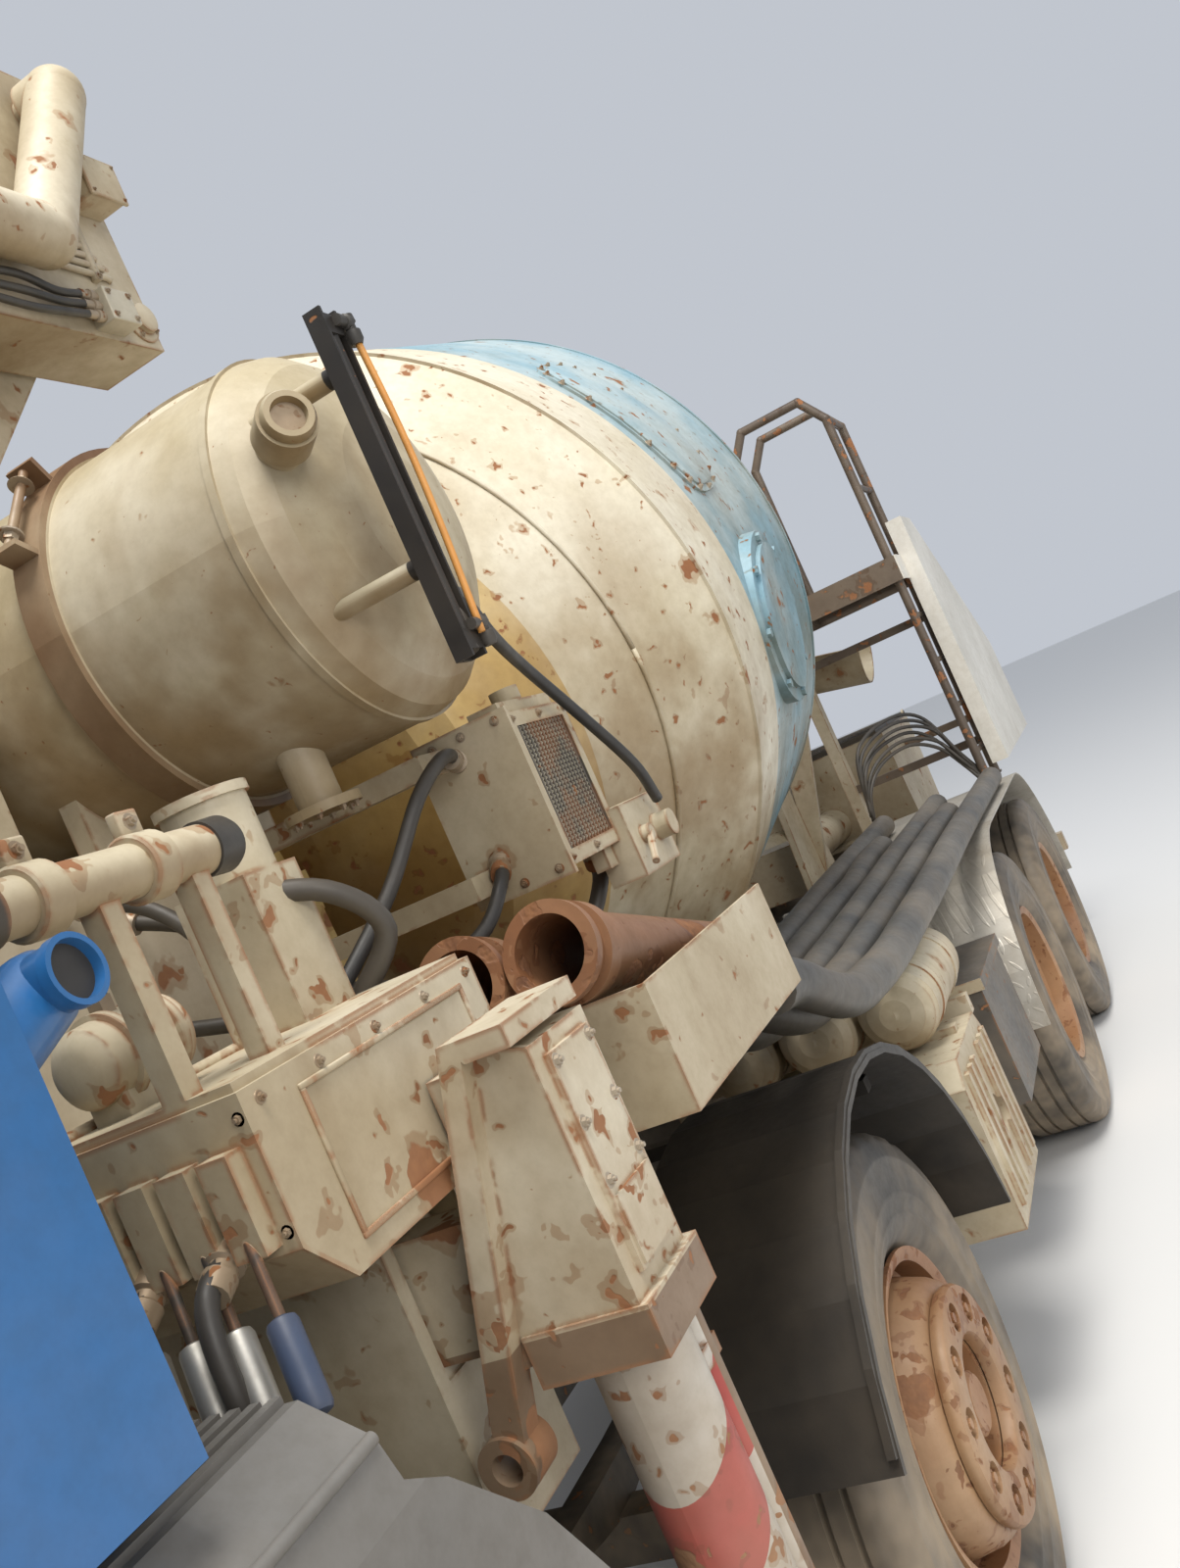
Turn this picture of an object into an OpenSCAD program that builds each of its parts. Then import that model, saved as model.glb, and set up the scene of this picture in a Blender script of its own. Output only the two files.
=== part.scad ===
// Truck mixer with a placing boom: four axles, the front two steered.
// +X points forward, +Y to the truck's left, +Z up. The origin lies on the ground, under the
// middle of the outline. Sizes are in millimetres.

/* [Axle places] */
// From the front bumper to the first axle
front_overhang = 1440; // [1300:10:1600]
// From the first axle to the second
axle12 = 1800; // [1760:10:1960]
// From the second axle to the third
axle23 = 2850; // [2700:10:3200]
// From the third axle to the fourth
axle34 = 1350; // [1300:10:1450]
// From the fourth axle to the back of the pump hopper
rear_overhang = 1750; // [1700:10:1950]
// How far the folded boom reaches past the bumper
boom_nose = 450; // [400:10:700]

/* [Wheels] */
// Tyre diameter
tyre_d = 1060; // [1020:10:1080]
// Tyre width
tyre_w = 305; // [290:1:315]
// Rim diameter at the bead seat
rim_d = 571; // [560:1:580]
// Distance between the steered wheels' middle planes
steer_track = 2040; // [2000:10:2060]
// Distance between the middles of the left and right twin wheels
dual_track = 1840; // [1820:5:1850]
// Distance between the two wheels of a pair
dual_gap = 345; // [340:1:352]
// Half the distance between the kingpins
kingpin_y = 850; // [840:1:860]

/* [Chassis] */
// Outer width of the ladder frame
frame_w = 800; // [760:10:820]
// Height of the frame's side rails
rail_h = 270; // [220:5:290]
// Height of the frame's top above the ground
frame_top = 1010; // [980:5:1020]
// Thickness of the side rails
rail_t = 8; // [6:1:10]
// Overall width of the bodywork
body_w = 2500; // [2480:10:2550]

/* [Cab] */
// Width of the cab
cab_w = 2300; // [2260:10:2340]
// Thickness of the cab's walls and doors
cab_wall = 45; // [35:1:55]
// From the first axle back to the cab's rear wall
cab_back = 130; // [110:5:180]
// Height of the roof above the ground
cab_roof = 2930; // [2880:10:2960]

/* [Drum] */
// Largest diameter of the drum
drum_d = 2250; // [2150:10:2260]
// Thickness of the drum's shell
drum_wall = 8; // [6:1:10]
// Tilt of the drum's axis
drum_tilt = 11.5; // [11:0.1:12]
// Height of the axis at the front head
drum_z = 2020; // [2010:5:2040]
// Length of the front cone
drum_front = 900; // [850:10:950]
// Length of the straight middle
drum_mid = 1200; // [1150:10:1250]
// Length of the rear cone
drum_rear = 2250; // [2200:10:2300]
// Diameter of the open mouth
mouth_d = 1060; // [1000:10:1100]

/* [Water tank] */
// Diameter of the water tank
tank_d = 640; // [600:10:650]
// Length of the water tank between the tips of its domes
tank_l = 2210; // [2180:10:2280]
// Height of the tank's axis
tank_z = 2400; // [2390:5:2420]

/* [Boom] */
// Heel pin of the boom above the cab's roof
heel_over = 370; // [350:5:380]
// Height of each box section
section_h = 280; // [260:5:290]
// Thickness of the turret's side plates
turret_t = 25; // [20:1:28]
// Angle that the first section rises through
raise_deg = 85; // [80:1:88]

/* [Outriggers] */
// Side of the square outer jack column
column_w = 160; // [150:5:180]
// Diameter of the jack leg
leg_d = 130; // [120:5:140]
// How far an outrigger slides out
outrigger_reach = 700; // [600:10:750]

/* [Hidden] */
$fn = 48;

// Clearance between pieces that touch, and between pieces that move
seat = 0.3;
run = 8;

// Stations along the truck
overall_l = boom_nose + front_overhang + axle12 + axle23 + axle34 + rear_overhang;
front_x = overall_l/2;
rear_x = -overall_l/2;
bumper_x = front_x - boom_nose;
ax1 = bumper_x - front_overhang;
ax2 = ax1 - axle12;
ax3 = ax2 - axle23;
ax4 = ax3 - axle34;
cab_rear = ax1 - cab_back;
wheel_z = tyre_d/2 - 10;
hub_y = dual_track/2;

// Frame ends and the lighter rails on top
rail_x0 = ax4 - 800;
rail_x1 = bumper_x - 340;
subframe_h = 50;
deck_z = frame_top + subframe_h + seat;
rail_z0 = frame_top - rail_h;

// Drum axis
head_x = ax2 - 50;
drum_l = drum_front + drum_mid + drum_rear;
function drum_x(s) = head_x - s*cos(drum_tilt);
function drum_h(s) = drum_z + s*sin(drum_tilt);

// Boom tower, turret and pins
slew_x = ax2 + 1030;
heel_z = cab_roof + heel_over;
slew_z = heel_z - 510;
heel_x = ax2 + 120;
nose_r = 150;
elbow1_x = front_x - nose_r;
elbow2_x = heel_x - 170;
elbow2_z = heel_z + section_h/2 + 140 + 110;
tank_x = ax2 + 470;
lift_base = [ax2 + 570, heel_z - 385];
lift_eye = [ax2 + 1770, heel_z - section_h/2 - 65];

// Outriggers
column_x = ax2 + 1020;
column_z0 = 1270;
column_top = 1620;
jack_z0 = 640;
jack_rod_d = 100;
column_in = body_w/2 - 160;
jack_y = column_in + 75;
beam_z0 = column_z0 + 20;
beam_z1 = beam_z0 + 180;

// Route of the loose rubber hoses in the side view, from behind the tray to the rear guard
hose_d = 100;
hose_line = [
    [1210, 1395], [1090, 1375], [940, 1310], [760, 1245], [530, 1216], [280, 1202], [20, 1202], [-240, 1202],
    [-500, 1203], [-760, 1206], [-1020, 1210], [-1280, 1213], [-1540, 1214], [-1800, 1214], [-2060, 1214],
    [-2320, 1214], [-2580, 1214], [-2820, 1214]];
// Each hose: distance from the truck's middle, stations it reaches, and how far it swings sideways
hose_rows = [[1180, 18, 0], [1064, 15, 0], [948, 17, 0], [818, 14, 14], [694, 17, 0]];

paint = [0.87, 0.83, 0.70];
rust = [0.55, 0.27, 0.12];
blue = [0.05, 0.42, 0.72];
grey = [0.45, 0.46, 0.46];
dark = [0.12, 0.12, 0.12];
rubber = [0.16, 0.155, 0.15];
band = [0.50, 0.66, 0.72];
ochre = [0.78, 0.62, 0.30];
alloy = [0.68, 0.68, 0.66];

// A box between two corners
module span(x0, x1, y0, y1, z0, z1) {
    translate([x0, y0, z0]) cube([x1 - x0, y1 - y0, z1 - z0]);
}

// A round bar between two points
module bar(p, q, d) {
    v = q - p;
    l = norm(v);
    translate(p) rotate([0, acos(v[2]/l), atan2(v[1], v[0])]) cylinder(d = d, h = l);
}

// A bent tube through a list of points, with a slightly larger ball at each bend
module tube(points, d) {
    for (i = [0 : len(points) - 2]) bar(points[i], points[i + 1], d);
    for (i = [1 : 1 : len(points) - 2]) translate(points[i]) sphere(d = d + 2);
}

// A cylinder along Y, and one along X
module along_y(x, y0, y1, z, d) {
    translate([x, y1, z]) rotate([90, 0, 0]) cylinder(d = d, h = y1 - y0);
}
module along_x(x0, x1, y, z, d) {
    translate([x0, y, z]) rotate([0, 90, 0]) cylinder(d = d, h = x1 - x0);
}

// Plates drawn in the side view, the front view and the plan
module side_plate(points, y0, y1) {
    translate([0, y1, 0]) rotate([90, 0, 0]) linear_extrude(y1 - y0) polygon(points);
}
module front_plate(points, x0, x1) {
    translate([x0, 0, 0]) rotate([90, 0, 90]) linear_extrude(x1 - x0) polygon(points);
}

// The same thing on the left and on the right
module both_sides() {
    children();
    mirror([0, 1, 0]) children();
}
module on_side(left) {
    if (left) children();
    else mirror([0, 1, 0]) children();
}

// Points on an arc in a side view, about (x, z)
function arc(x, z, r, a0, a1, n = 8) =
    [for (i = [0 : n]) [x + r*cos(a0 + (a1 - a0)*i/n), z + r*sin(a0 + (a1 - a0)*i/n)]];

// Ladder frame: two channel rails, cross members, and the drum's own lighter rails on top
module frame() {
    y = frame_w/2;
    flange = 80;
    color(dark) {
        both_sides() {
            span(rail_x0, rail_x1, y - rail_t, y, frame_top - rail_h, frame_top);
            for (z = [frame_top - rail_t, frame_top - rail_h])
                span(rail_x0, rail_x1, y - flange, y, z, z + rail_t);
            span(rail_x0, cab_rear - 320, y - flange, y - 10, frame_top, frame_top + subframe_h);
        }
        for (x = [rail_x0 + 80, ax3 - 675, ax2 - 1350, ax2 - 600, rail_x1 - 100])
            along_y(x, rail_t - y, y - rail_t, frame_top - rail_h/2, 140);
        // Posts under the cab's floor, behind and in front
        both_sides() {
            span(cab_rear + 60, cab_rear + 140, y - flange + 2, y - 2, frame_top - 1, arch_z - seat);
            span(ax1 + 860, ax1 + 940, y - flange + 2, y - 2, frame_top - 1, cab_low - seat);
        }
    }
}

// Engine and gearbox as one plain block between the rails, under the cab
module engine() {
    color(dark) {
        span(ax1 - 440, ax1 + 800, -310, 310, 780, cab_low - 15);
        span(ax1 - 1150, ax1 - 440, -200, 200, 720, frame_top - 10);
        // Feet on the rails' webs
        both_sides() {
            span(ax1 + 300, ax1 + 380, 309, frame_w/2 - rail_t - seat, 800, 880);
            span(ax1 - 900, ax1 - 820, 199, frame_w/2 - rail_t - seat, 800, 880);
        }
    }
}

// Forged beams with a boss for each kingpin, on leaf springs
module steer_axle(x) {
    drop = 110;
    boss_h = 150;
    front_plate([
        [-kingpin_y + 40, wheel_z - 45], [-kingpin_y + 200, wheel_z - 45],
        [-560, wheel_z - 45 - drop], [560, wheel_z - 45 - drop],
        [kingpin_y - 200, wheel_z - 45], [kingpin_y - 40, wheel_z - 45],
        [kingpin_y - 40, wheel_z + 45], [kingpin_y - 230, wheel_z + 45],
        [530, wheel_z + 60 - drop], [-530, wheel_z + 60 - drop],
        [-kingpin_y + 230, wheel_z + 45], [-kingpin_y + 40, wheel_z + 45]
    ], x - 45, x + 45);
    both_sides() {
        translate([x, kingpin_y, wheel_z - boss_h/2]) difference() {
            cylinder(d = 110, h = boss_h);
            translate([0, 0, -1]) cylinder(d = 46, h = boss_h + 2);
        }
        // Spring pack and its hangers, under the rail
        y0 = frame_w/2 - 75;
        y1 = frame_w/2 - 5;
        sp = wheel_z + 60 - drop;
        side_plate(concat(
            [[x - 800, frame_top - rail_h - 110]],
            [[x - 400, sp + 60], [x - 120, sp + 5], [x - 60, sp - 5], [x + 60, sp - 5], [x + 120, sp + 5],
             [x + 400, sp + 60], [x + 800, frame_top - rail_h - 110]],
            [[x + 800, frame_top - rail_h - 85], [x + 400, sp + 95], [x + 120, sp + 85], [x - 120, sp + 85],
             [x - 400, sp + 95], [x - 800, frame_top - rail_h - 85]]), y0, y1);
        for (e = [-1, 1])
            side_plate([[x + e*800 - 45, frame_top - rail_h - 125], [x + e*800 + 45, frame_top - rail_h - 125],
                [x + e*800 + 70, frame_top - rail_h - seat], [x + e*800 - 70, frame_top - rail_h - seat]],
                y0 - 5, y1 + 3);
    }
}
module steer_axles() {
    color(dark) for (x = [ax1, ax2]) steer_axle(x);
}

// Driven axles: bulb and tubes, carried at both ends of one inverted spring on each side
module drive_axles() {
    spring_top = wheel_z + 130;
    color(dark) {
        for (x = [ax3, ax4]) {
            along_y(x, -hub_y - 90, hub_y + 90, wheel_z, 110);
            along_y(x, 360 - hub_y, hub_y - 360, wheel_z, 170);
            translate([x, 0, wheel_z]) sphere(d = 440);
            both_sides() along_y(x, hub_y - 360, hub_y - 300, wheel_z, 400);
        }
        along_x(ax4 + 180, ax3 - 180, 0, wheel_z + 60, 90);
        along_x(ax3 + 150, ax2 + 60, 0, wheel_z + 90, 110);
        both_sides() {
            mid = (ax3 + ax4)/2;
            side_plate([
                [ax4 - 90, wheel_z + 80], [ax4 + 90, wheel_z + 80], [mid - 120, spring_top + 20],
                [mid + 120, spring_top + 20], [ax3 - 90, wheel_z + 80], [ax3 + 90, wheel_z + 80],
                [ax3 + 90, wheel_z + 115], [mid + 160, spring_top + 95],
                [mid - 160, spring_top + 95], [ax4 - 90, wheel_z + 115]], 425, 505);
            // Trunnion bracket, which stands off the rail's outer face
            side_plate([[mid - 120, wheel_z + 40], [mid + 120, wheel_z + 40],
                [mid + 200, frame_top - 20], [mid - 200, frame_top - 20]],
                frame_w/2 + seat, frame_w/2 + 24);
            along_y(mid, frame_w/2 + 10, 530, spring_top - 40, 150);
        }
    }
}

// Steering knuckle: a fork on the kingpin, the spindle and the brake drum's backplate
module knuckle(x, left) {
    lug_z = 78;
    color(dark) on_side(left) {
        translate([x, kingpin_y, wheel_z]) {
            translate([0, 0, -lug_z - 42]) cylinder(d = 45.9, h = 2*lug_z + 84);
            for (s = [-1, 1]) translate([0, 0, s*(lug_z + 20)]) difference() {
                cylinder(d = 120, h = 40, center = true);
                cylinder(d = 40, h = 50, center = true);
            }
        }
        difference() {
            span(x - 55, x + 55, kingpin_y + 30, kingpin_y + 78, wheel_z - lug_z - 40, wheel_z + lug_z + 40);
            translate([x, kingpin_y, wheel_z]) cylinder(d = 120, h = 2*lug_z, center = true);
        }
        along_y(x, kingpin_y + 70, steer_track/2 + 150, wheel_z, 90);
        along_y(x, kingpin_y + 62, kingpin_y + 78, wheel_z, 400);
    }
}

// Tyre section: bead, bulging wall, shoulder and flat tread
function tyre_points(bead_w) = [
    [rim_d/2 + seat, -bead_w], [rim_d/2 + 22, -bead_w - 8], [rim_d/2 + 60, -tyre_w/2 + 12],
    [tyre_d/2 - 135, -tyre_w/2], [tyre_d/2 - 60, -tyre_w/2 + 4], [tyre_d/2 - 14, -tyre_w/2 + 22],
    [tyre_d/2, -tyre_w/2 + 48], [tyre_d/2, tyre_w/2 - 48], [tyre_d/2 - 14, tyre_w/2 - 22],
    [tyre_d/2 - 60, tyre_w/2 - 4], [tyre_d/2 - 135, tyre_w/2], [rim_d/2 + 60, tyre_w/2 - 12],
    [rim_d/2 + 22, bead_w + 8], [rim_d/2 + seat, bead_w]];

module tyre() {
    color(rubber) rotate_extrude() polygon(tyre_points(103));
}

// Rim barrel, open in the middle, with a dropped centre
module rim_barrel() {
    lip = rim_d/2 + 14;
    rotate_extrude() polygon([
        [rim_d/2 - 12, -128], [lip, -128], [lip, -118], [rim_d/2 + 2, -104 - 1], [rim_d/2, -103],
        [rim_d/2, -60], [rim_d/2 - 26, -40], [rim_d/2 - 26, 40], [rim_d/2, 60], [rim_d/2, 103],
        [rim_d/2 + 2, 105], [lip, 118], [lip, 128], [rim_d/2 - 12, 128],
        [rim_d/2 - 12, 66], [rim_d/2 - 38, 44], [rim_d/2 - 38, -44], [rim_d/2 - 12, -66]]);
}

// Wheel disc with ten hand holes; its flange lies off the middle plane by the inset
stud_pcd = 335;
inset = 168;
module disc() {
    difference() {
        rotate_extrude() polygon([
            [118, inset - 14], [205, inset - 14], [224, inset - 34], [rim_d/2 - 34, 30], [rim_d/2 - 34, 6],
            [rim_d/2 - 24, 6], [rim_d/2 - 24, 38], [236, inset - 26], [212, inset], [118, inset]]);
        for (i = [0 : 9]) rotate(36*i) translate([232, 0, 0]) cylinder(d = 46, h = 300);
    }
}
module nuts(z, h) {
    for (i = [0 : 9]) rotate(36*i + 18) translate([stud_pcd/2, 0, z]) cylinder(d = 34, h = h, $fn = 6);
}

// A steered wheel: the disc bulges outwards, with the hub in its centre hole
module steer_wheel(x, left) {
    on_side(left) translate([x, steer_track/2, wheel_z]) rotate([-90, 0, 0]) {
        tyre();
        color(rust) difference() {
            union() {
                rim_barrel();
                disc();
                translate([0, 0, -60]) cylinder(d = 250, h = inset + 60 + 34);
                translate([0, 0, inset + 30]) cylinder(d = 150, h = 40);
                nuts(inset - 2, 28);
                translate([0, 0, -80]) cylinder(d = 420, h = 30);
            }
            translate([0, 0, -100]) cylinder(d = 90.2, h = 100 + 152);
        }
    }
}

// Twin wheels: the outer disc is dished inwards and meets the inner one at the hub flange
module dual_wheel(x, left) {
    on_side(left) translate([x, hub_y, wheel_z]) rotate([-90, 0, 0]) {
        for (s = [-1, 1]) translate([0, 0, s*dual_gap/2]) {
            tyre();
        }
        color(rust) difference() {
            union() {
                for (s = [-1, 1]) translate([0, 0, s*dual_gap/2]) {
                    rim_barrel();
                    mirror([0, 0, s > 0 ? 1 : 0]) disc();
                }
                translate([0, 0, -200]) cylinder(d = 250, h = 340);
                translate([0, 0, 138]) cylinder(d = 190, h = 60);
                nuts(2, 40);
                translate([0, 0, -270]) cylinder(d = 420, h = 80);
            }
            translate([0, 0, -280]) cylinder(d = 110.2, h = 280 + 100);
            translate([0, 0, -280]) cylinder(d = 180, h = 60);
        }
    }
}

// Cab side view: the outline moved in by i from every wall
cab_front_x = bumper_x - 40;
cab_low = 1150;
arch_z = 1500;
function cab_outline(i) = [
    [cab_rear + i, arch_z + i], [cab_rear + i, cab_roof - 90 - i], [cab_rear + 60 + i*0.6, cab_roof - 20 - i],
    [cab_rear + 260, cab_roof - i], [cab_front_x - 330 - i*0.3, cab_roof - 20 - i],
    [cab_front_x - 230 - i*0.8, cab_roof - 90 - i*0.7],
    [cab_front_x - 40 - i, 1960], [cab_front_x - i, 1830], [cab_front_x - i, cab_low + i],
    [ax1 + 720 - i*0.3, cab_low + i], [ax1 + 560 - i*0.4, arch_z + i]];
door_points = [
    [ax1 + 745, cab_low + 50], [ax1 + 760, 1300], [ax1 + 595, arch_z + 50], [ax1 + 60, arch_z + 50],
    [ax1 + 60, cab_roof - 160], [cab_front_x - 400, cab_roof - 160], [cab_front_x - 235, 1990],
    [cab_front_x - 215, 1700], [cab_front_x - 215, cab_low + 50]];
door_gap = 6;
function side_window() = [
    [ax1 + 120, 2030], [ax1 + 120, cab_roof - 220], [cab_front_x - 445, cab_roof - 220],
    [cab_front_x - 320, 2030]];

// Cab shell: hollow, with its windscreen, door openings and rear window cut out
module cab() {
    y = cab_w/2;
    color(blue) difference() {
        side_plate(cab_outline(0), -y, y);
        side_plate(cab_outline(cab_wall), -y + cab_wall, y - cab_wall);
        side_plate(door_points, -y - 1, y + 1);
        // Windscreen opening, through the sloping front
        front_plate([[-y + 110, 2020], [y - 110, 2020], [y - 160, cab_roof - 140], [-y + 160, cab_roof - 140]],
            cab_front_x - 400, cab_front_x + 50);
        // Rear window
        span(cab_rear - 1, cab_rear + cab_wall + 1, -330, 330, cab_roof - 780, cab_roof - 330);
    }
    color(blue) {
        both_sides() hinge_eyes();
        // Air intake stub on each rear corner, and the ridge over the doors
        both_sides() {
            bar([cab_rear + 20, y - 48, 1840], [cab_rear - 75, y - 48, 1885], 75);
            span(ax1 + 20, cab_front_x - 380, y - 1, y + 12, cab_roof - 140, cab_roof - 125);
        }
    }
}

// Hinges on the front edge of each door: pins on the door, eyes on the cab
hinge_x = cab_front_x - 218;
hinge_y = cab_w/2 + 18;
hinge_h = 60;
module hinge_pins() {
    for (z = [1290, 1600]) {
        translate([hinge_x, hinge_y, z]) cylinder(d = 20, h = hinge_h);
        for (dz = [0, 45]) {
            span(hinge_x - 50, hinge_x + 5, cab_w/2 + 1, hinge_y + 8, z + dz, z + dz + 15);
            span(hinge_x - 50, hinge_x - 10, cab_w/2 - 1, cab_w/2 + 2, z + dz, z + dz + 15);
        }
    }
}
module hinge_eyes() {
    for (z = [1290, 1600]) difference() {
        union() {
            translate([hinge_x, hinge_y, z + 15 + seat]) cylinder(d = 34, h = hinge_h - 30 - 2*seat);
            span(hinge_x + 8, hinge_x + 50, cab_w/2 - 1, hinge_y + 8, z + 15 + seat, z + 45 - seat);
        }
        translate([hinge_x, hinge_y, z]) cylinder(d = 20.2, h = hinge_h);
    }
}

// One door as thick as the wall, with its window cut; it fits the opening with a small gap
module door(left) {
    y = cab_w/2;
    g = door_gap;
    color(blue) on_side(left) {
        difference() {
            side_plate([
                [ax1 + 745 + g, cab_low + 50 + g], [ax1 + 760 + g, 1300 + g], [ax1 + 595 + g, arch_z + 50 + g],
                [ax1 + 60 + g, arch_z + 50 + g], [ax1 + 60 + g, cab_roof - 160 - g],
                [cab_front_x - 400 - g, cab_roof - 160 - g], [cab_front_x - 235 - g, 1990],
                [cab_front_x - 215 - g, 1700], [cab_front_x - 215 - g, cab_low + 50 + g]],
                y - cab_wall, y);
            side_plate(side_window(), y - cab_wall - 1, y + 1);
            // Hollow behind the handle
            span(ax1 + 120, ax1 + 290, y - 20, y + 1, 1830, 1890);
        }
        span(ax1 + 110, ax1 + 300, y - 8, y + 14, 1852, 1872);
        hinge_pins();
    }
}
module door_l() { door(true); }
module door_r() { door(false); }

// Windscreen and rear window, each a pane seated inside its opening
module windows() {
    y = cab_w/2;
    color("lightblue") {
        // The pane lies against the inner face of the sloping front
        i = cab_wall + seat;
        slope_top = [cab_front_x - 230 - i*0.8, cab_roof - 90 - i*0.7];
        slope_low = [cab_front_x - 40 - i, 1960];
        side_plate([slope_top, slope_low, slope_low - [8, 0], slope_top - [8, 0]], -y + 80, y - 80);
        span(cab_rear + cab_wall + seat, cab_rear + cab_wall + 6, -370, 370, cab_roof - 820, cab_roof - 290);
    }
}

// Pane of a door, against the door's inner face
module pane(left) {
    y = cab_w/2 - cab_wall - seat;
    color("lightblue") on_side(left) side_plate([
        [ax1 + 90, 2000], [ax1 + 90, cab_roof - 190], [cab_front_x - 428, cab_roof - 190],
        [cab_front_x - 290, 2000]], y - 6, y);
}
module window_l() { pane(true); }
module window_r() { pane(false); }

// Seats, dash and steering wheel, seen through the glass
module cab_inside() {
    color(dark) {
        floor_z = arch_z + cab_wall + seat;
        dash_x = cab_front_x - cab_wall - seat;
        for (y = [-620, 620]) {
            span(ax1 + 60, ax1 + 540, y - 240, y + 240, floor_z, floor_z + 420);
            side_plate([[ax1 - 40, floor_z + 400], [ax1 + 80, floor_z + 400], [ax1 + 20, floor_z + 1080],
                [ax1 - 70, floor_z + 1080]], y - 230, y + 230);
        }
        side_plate([[dash_x, 1560], [dash_x, 1820], [dash_x - 40, 1900],
            [cab_front_x - 380, 1880], [cab_front_x - 380, 1560]], -cab_w/2 + 130, cab_w/2 - 130);
        translate([cab_front_x - 470, 620, 1900]) rotate([0, -62, 0]) {
            rotate_extrude() translate([200, 0]) circle(d = 30, $fn = 24);
            cylinder(d = 90, h = 30);
            for (a = [90, 210, 330]) rotate(a) translate([0, -16, 0]) cube([195, 32, 18]);
            translate([0, 0, -150]) cylinder(d = 50, h = 160);
        }
    }
}

// Bumper, grille, lamps, steps and mirrors
module cab_front() {
    y = cab_w/2;
    color(grey) {
        // Bumper, hollowed behind
        difference() {
            side_plate([[bumper_x - 330, 480], [bumper_x - 40, 450], [bumper_x, 560], [bumper_x, 1000],
                [bumper_x - 30, cab_low - seat], [bumper_x - 330, cab_low - seat]], -body_w/2 + 30, body_w/2 - 30);
            side_plate([[bumper_x - 340, 400], [bumper_x - 90, 400], [bumper_x - 90, cab_low - 60],
                [bumper_x - 340, cab_low - 60]], -cab_w/2 + 60, cab_w/2 - 60);
            both_sides() span(bumper_x - 60, bumper_x + 1, 700, 1130, 660, 880);
        }
        both_sides() {
            // Steps behind the bumper's corner
            for (z = [480, 800]) span(ax1 + 626, bumper_x - 329, y - 320, body_w/2 - 40, z, z + 40);
            span(ax1 + 625.3, ax1 + 680, y - 320, body_w/2 - 40, 480, cab_low - seat);
            // Mirror arms and housings
            tube([[cab_front_x - 200, y + 15 + seat, 2460], [cab_front_x - 80, y + 150, 2460]], 30);
            along_y(cab_front_x - 80, y + seat, y + 150, 1930, 30);
            span(cab_front_x - 110, cab_front_x - 20, y + 130, y + 330, 1880, 2500);
        }
        // Towing lug
        difference() {
            span(bumper_x - 30, bumper_x + 80, -50, 50, 610, 690);
            translate([bumper_x + 35, 0, 600]) cylinder(d = 40, h = 100);
        }
        // Sun visor on three brackets, against the slope over the windscreen
        for (v = [-720, 0, 720]) side_plate([
            [cab_front_x - 309.8, cab_roof - 33.7], [cab_front_x - 239.8, cab_roof - 82.7],
            [cab_front_x - 60, cab_roof - 110], [cab_front_x - 60, cab_roof - 95],
            [cab_front_x - 280, cab_roof + 10]], v - 10, v + 10);
        side_plate([[cab_front_x - 290, cab_roof + 14], [cab_front_x - 290, cab_roof + 6],
            [cab_front_x - 65, cab_roof - 102], [cab_front_x - 20, cab_roof - 160],
            [cab_front_x - 12, cab_roof - 156], [cab_front_x - 60, cab_roof - 92]], -y + 60, y - 60);
        // Grille bars across the cab's front
        for (i = [0 : 4])
            span(cab_front_x + seat, cab_front_x + 30, -820, 820, 1230 + 110*i, 1270 + 110*i);
        for (s = [-1, 1]) span(cab_front_x + seat, cab_front_x + 22, s*790 - 30, s*790 + 30, 1230, 1710);
    }
    color("white") both_sides() span(bumper_x - 61, bumper_x - 12, 715, 1115, 672, 868);
}

// Curved sheet over a wheel, from angle a0 to a1
module guard(x, a0, a1, r, t, y0, y1) {
    side_plate(concat(arc(x, wheel_z, r, a0, a1, 14), arc(x, wheel_z, r + t, a1, a0, 14)), y0, y1);
}
guard_r = 660;
// Arm from the frame's outer face, under a guard of radius r, dx from the wheel's middle
module guard_arm(x, dx, r) {
    top = wheel_z + sqrt(r*r - pow(abs(dx) + 20, 2)) - 1;
    span(x + dx - 20, x + dx + 20, frame_w/2 + seat, frame_w/2 + 40, frame_top - 150, top);
    span(x + dx - 20, x + dx + 20, frame_w/2 + seat, body_w/2 - 100, top - 30, top);
}
// Outline of the moulded guard behind the cab, in the side view and in the front view, moved in by i
guard_y = body_w/2 - 75;
guard_top = arch_z - 40;
function moulded_side(i) = [
    [ax1 - 676 + i, 640], [ax1 - 650 + i, 800], [ax1 - 580 + i, 1020], [ax1 - 463 + i, 1220],
    [ax1 - 352 + i, 1333 - 0.3*i], [ax1 - 300 + i, 1365 - i], [ax1 - 295 + i, guard_top - i],
    [ax1 + 140 - i, guard_top - i], [ax1 + 140 - i, 1000], [ax1, wheel_z]];
function moulded_front(i) = [
    [850, 400], [850, guard_top - i], [1100, guard_top - i], [1160 - 0.6*i, guard_top - 50 - 0.5*i],
    [guard_y - 3 - i, guard_top - 110], [guard_y - i, 1180], [guard_y - i, 400]];
module moulded_shape(i) {
    intersection() {
        side_plate(moulded_side(i), 860 - i, guard_y);
        front_plate(moulded_front(i), ax1 - 700, ax1 + 200);
    }
}
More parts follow.
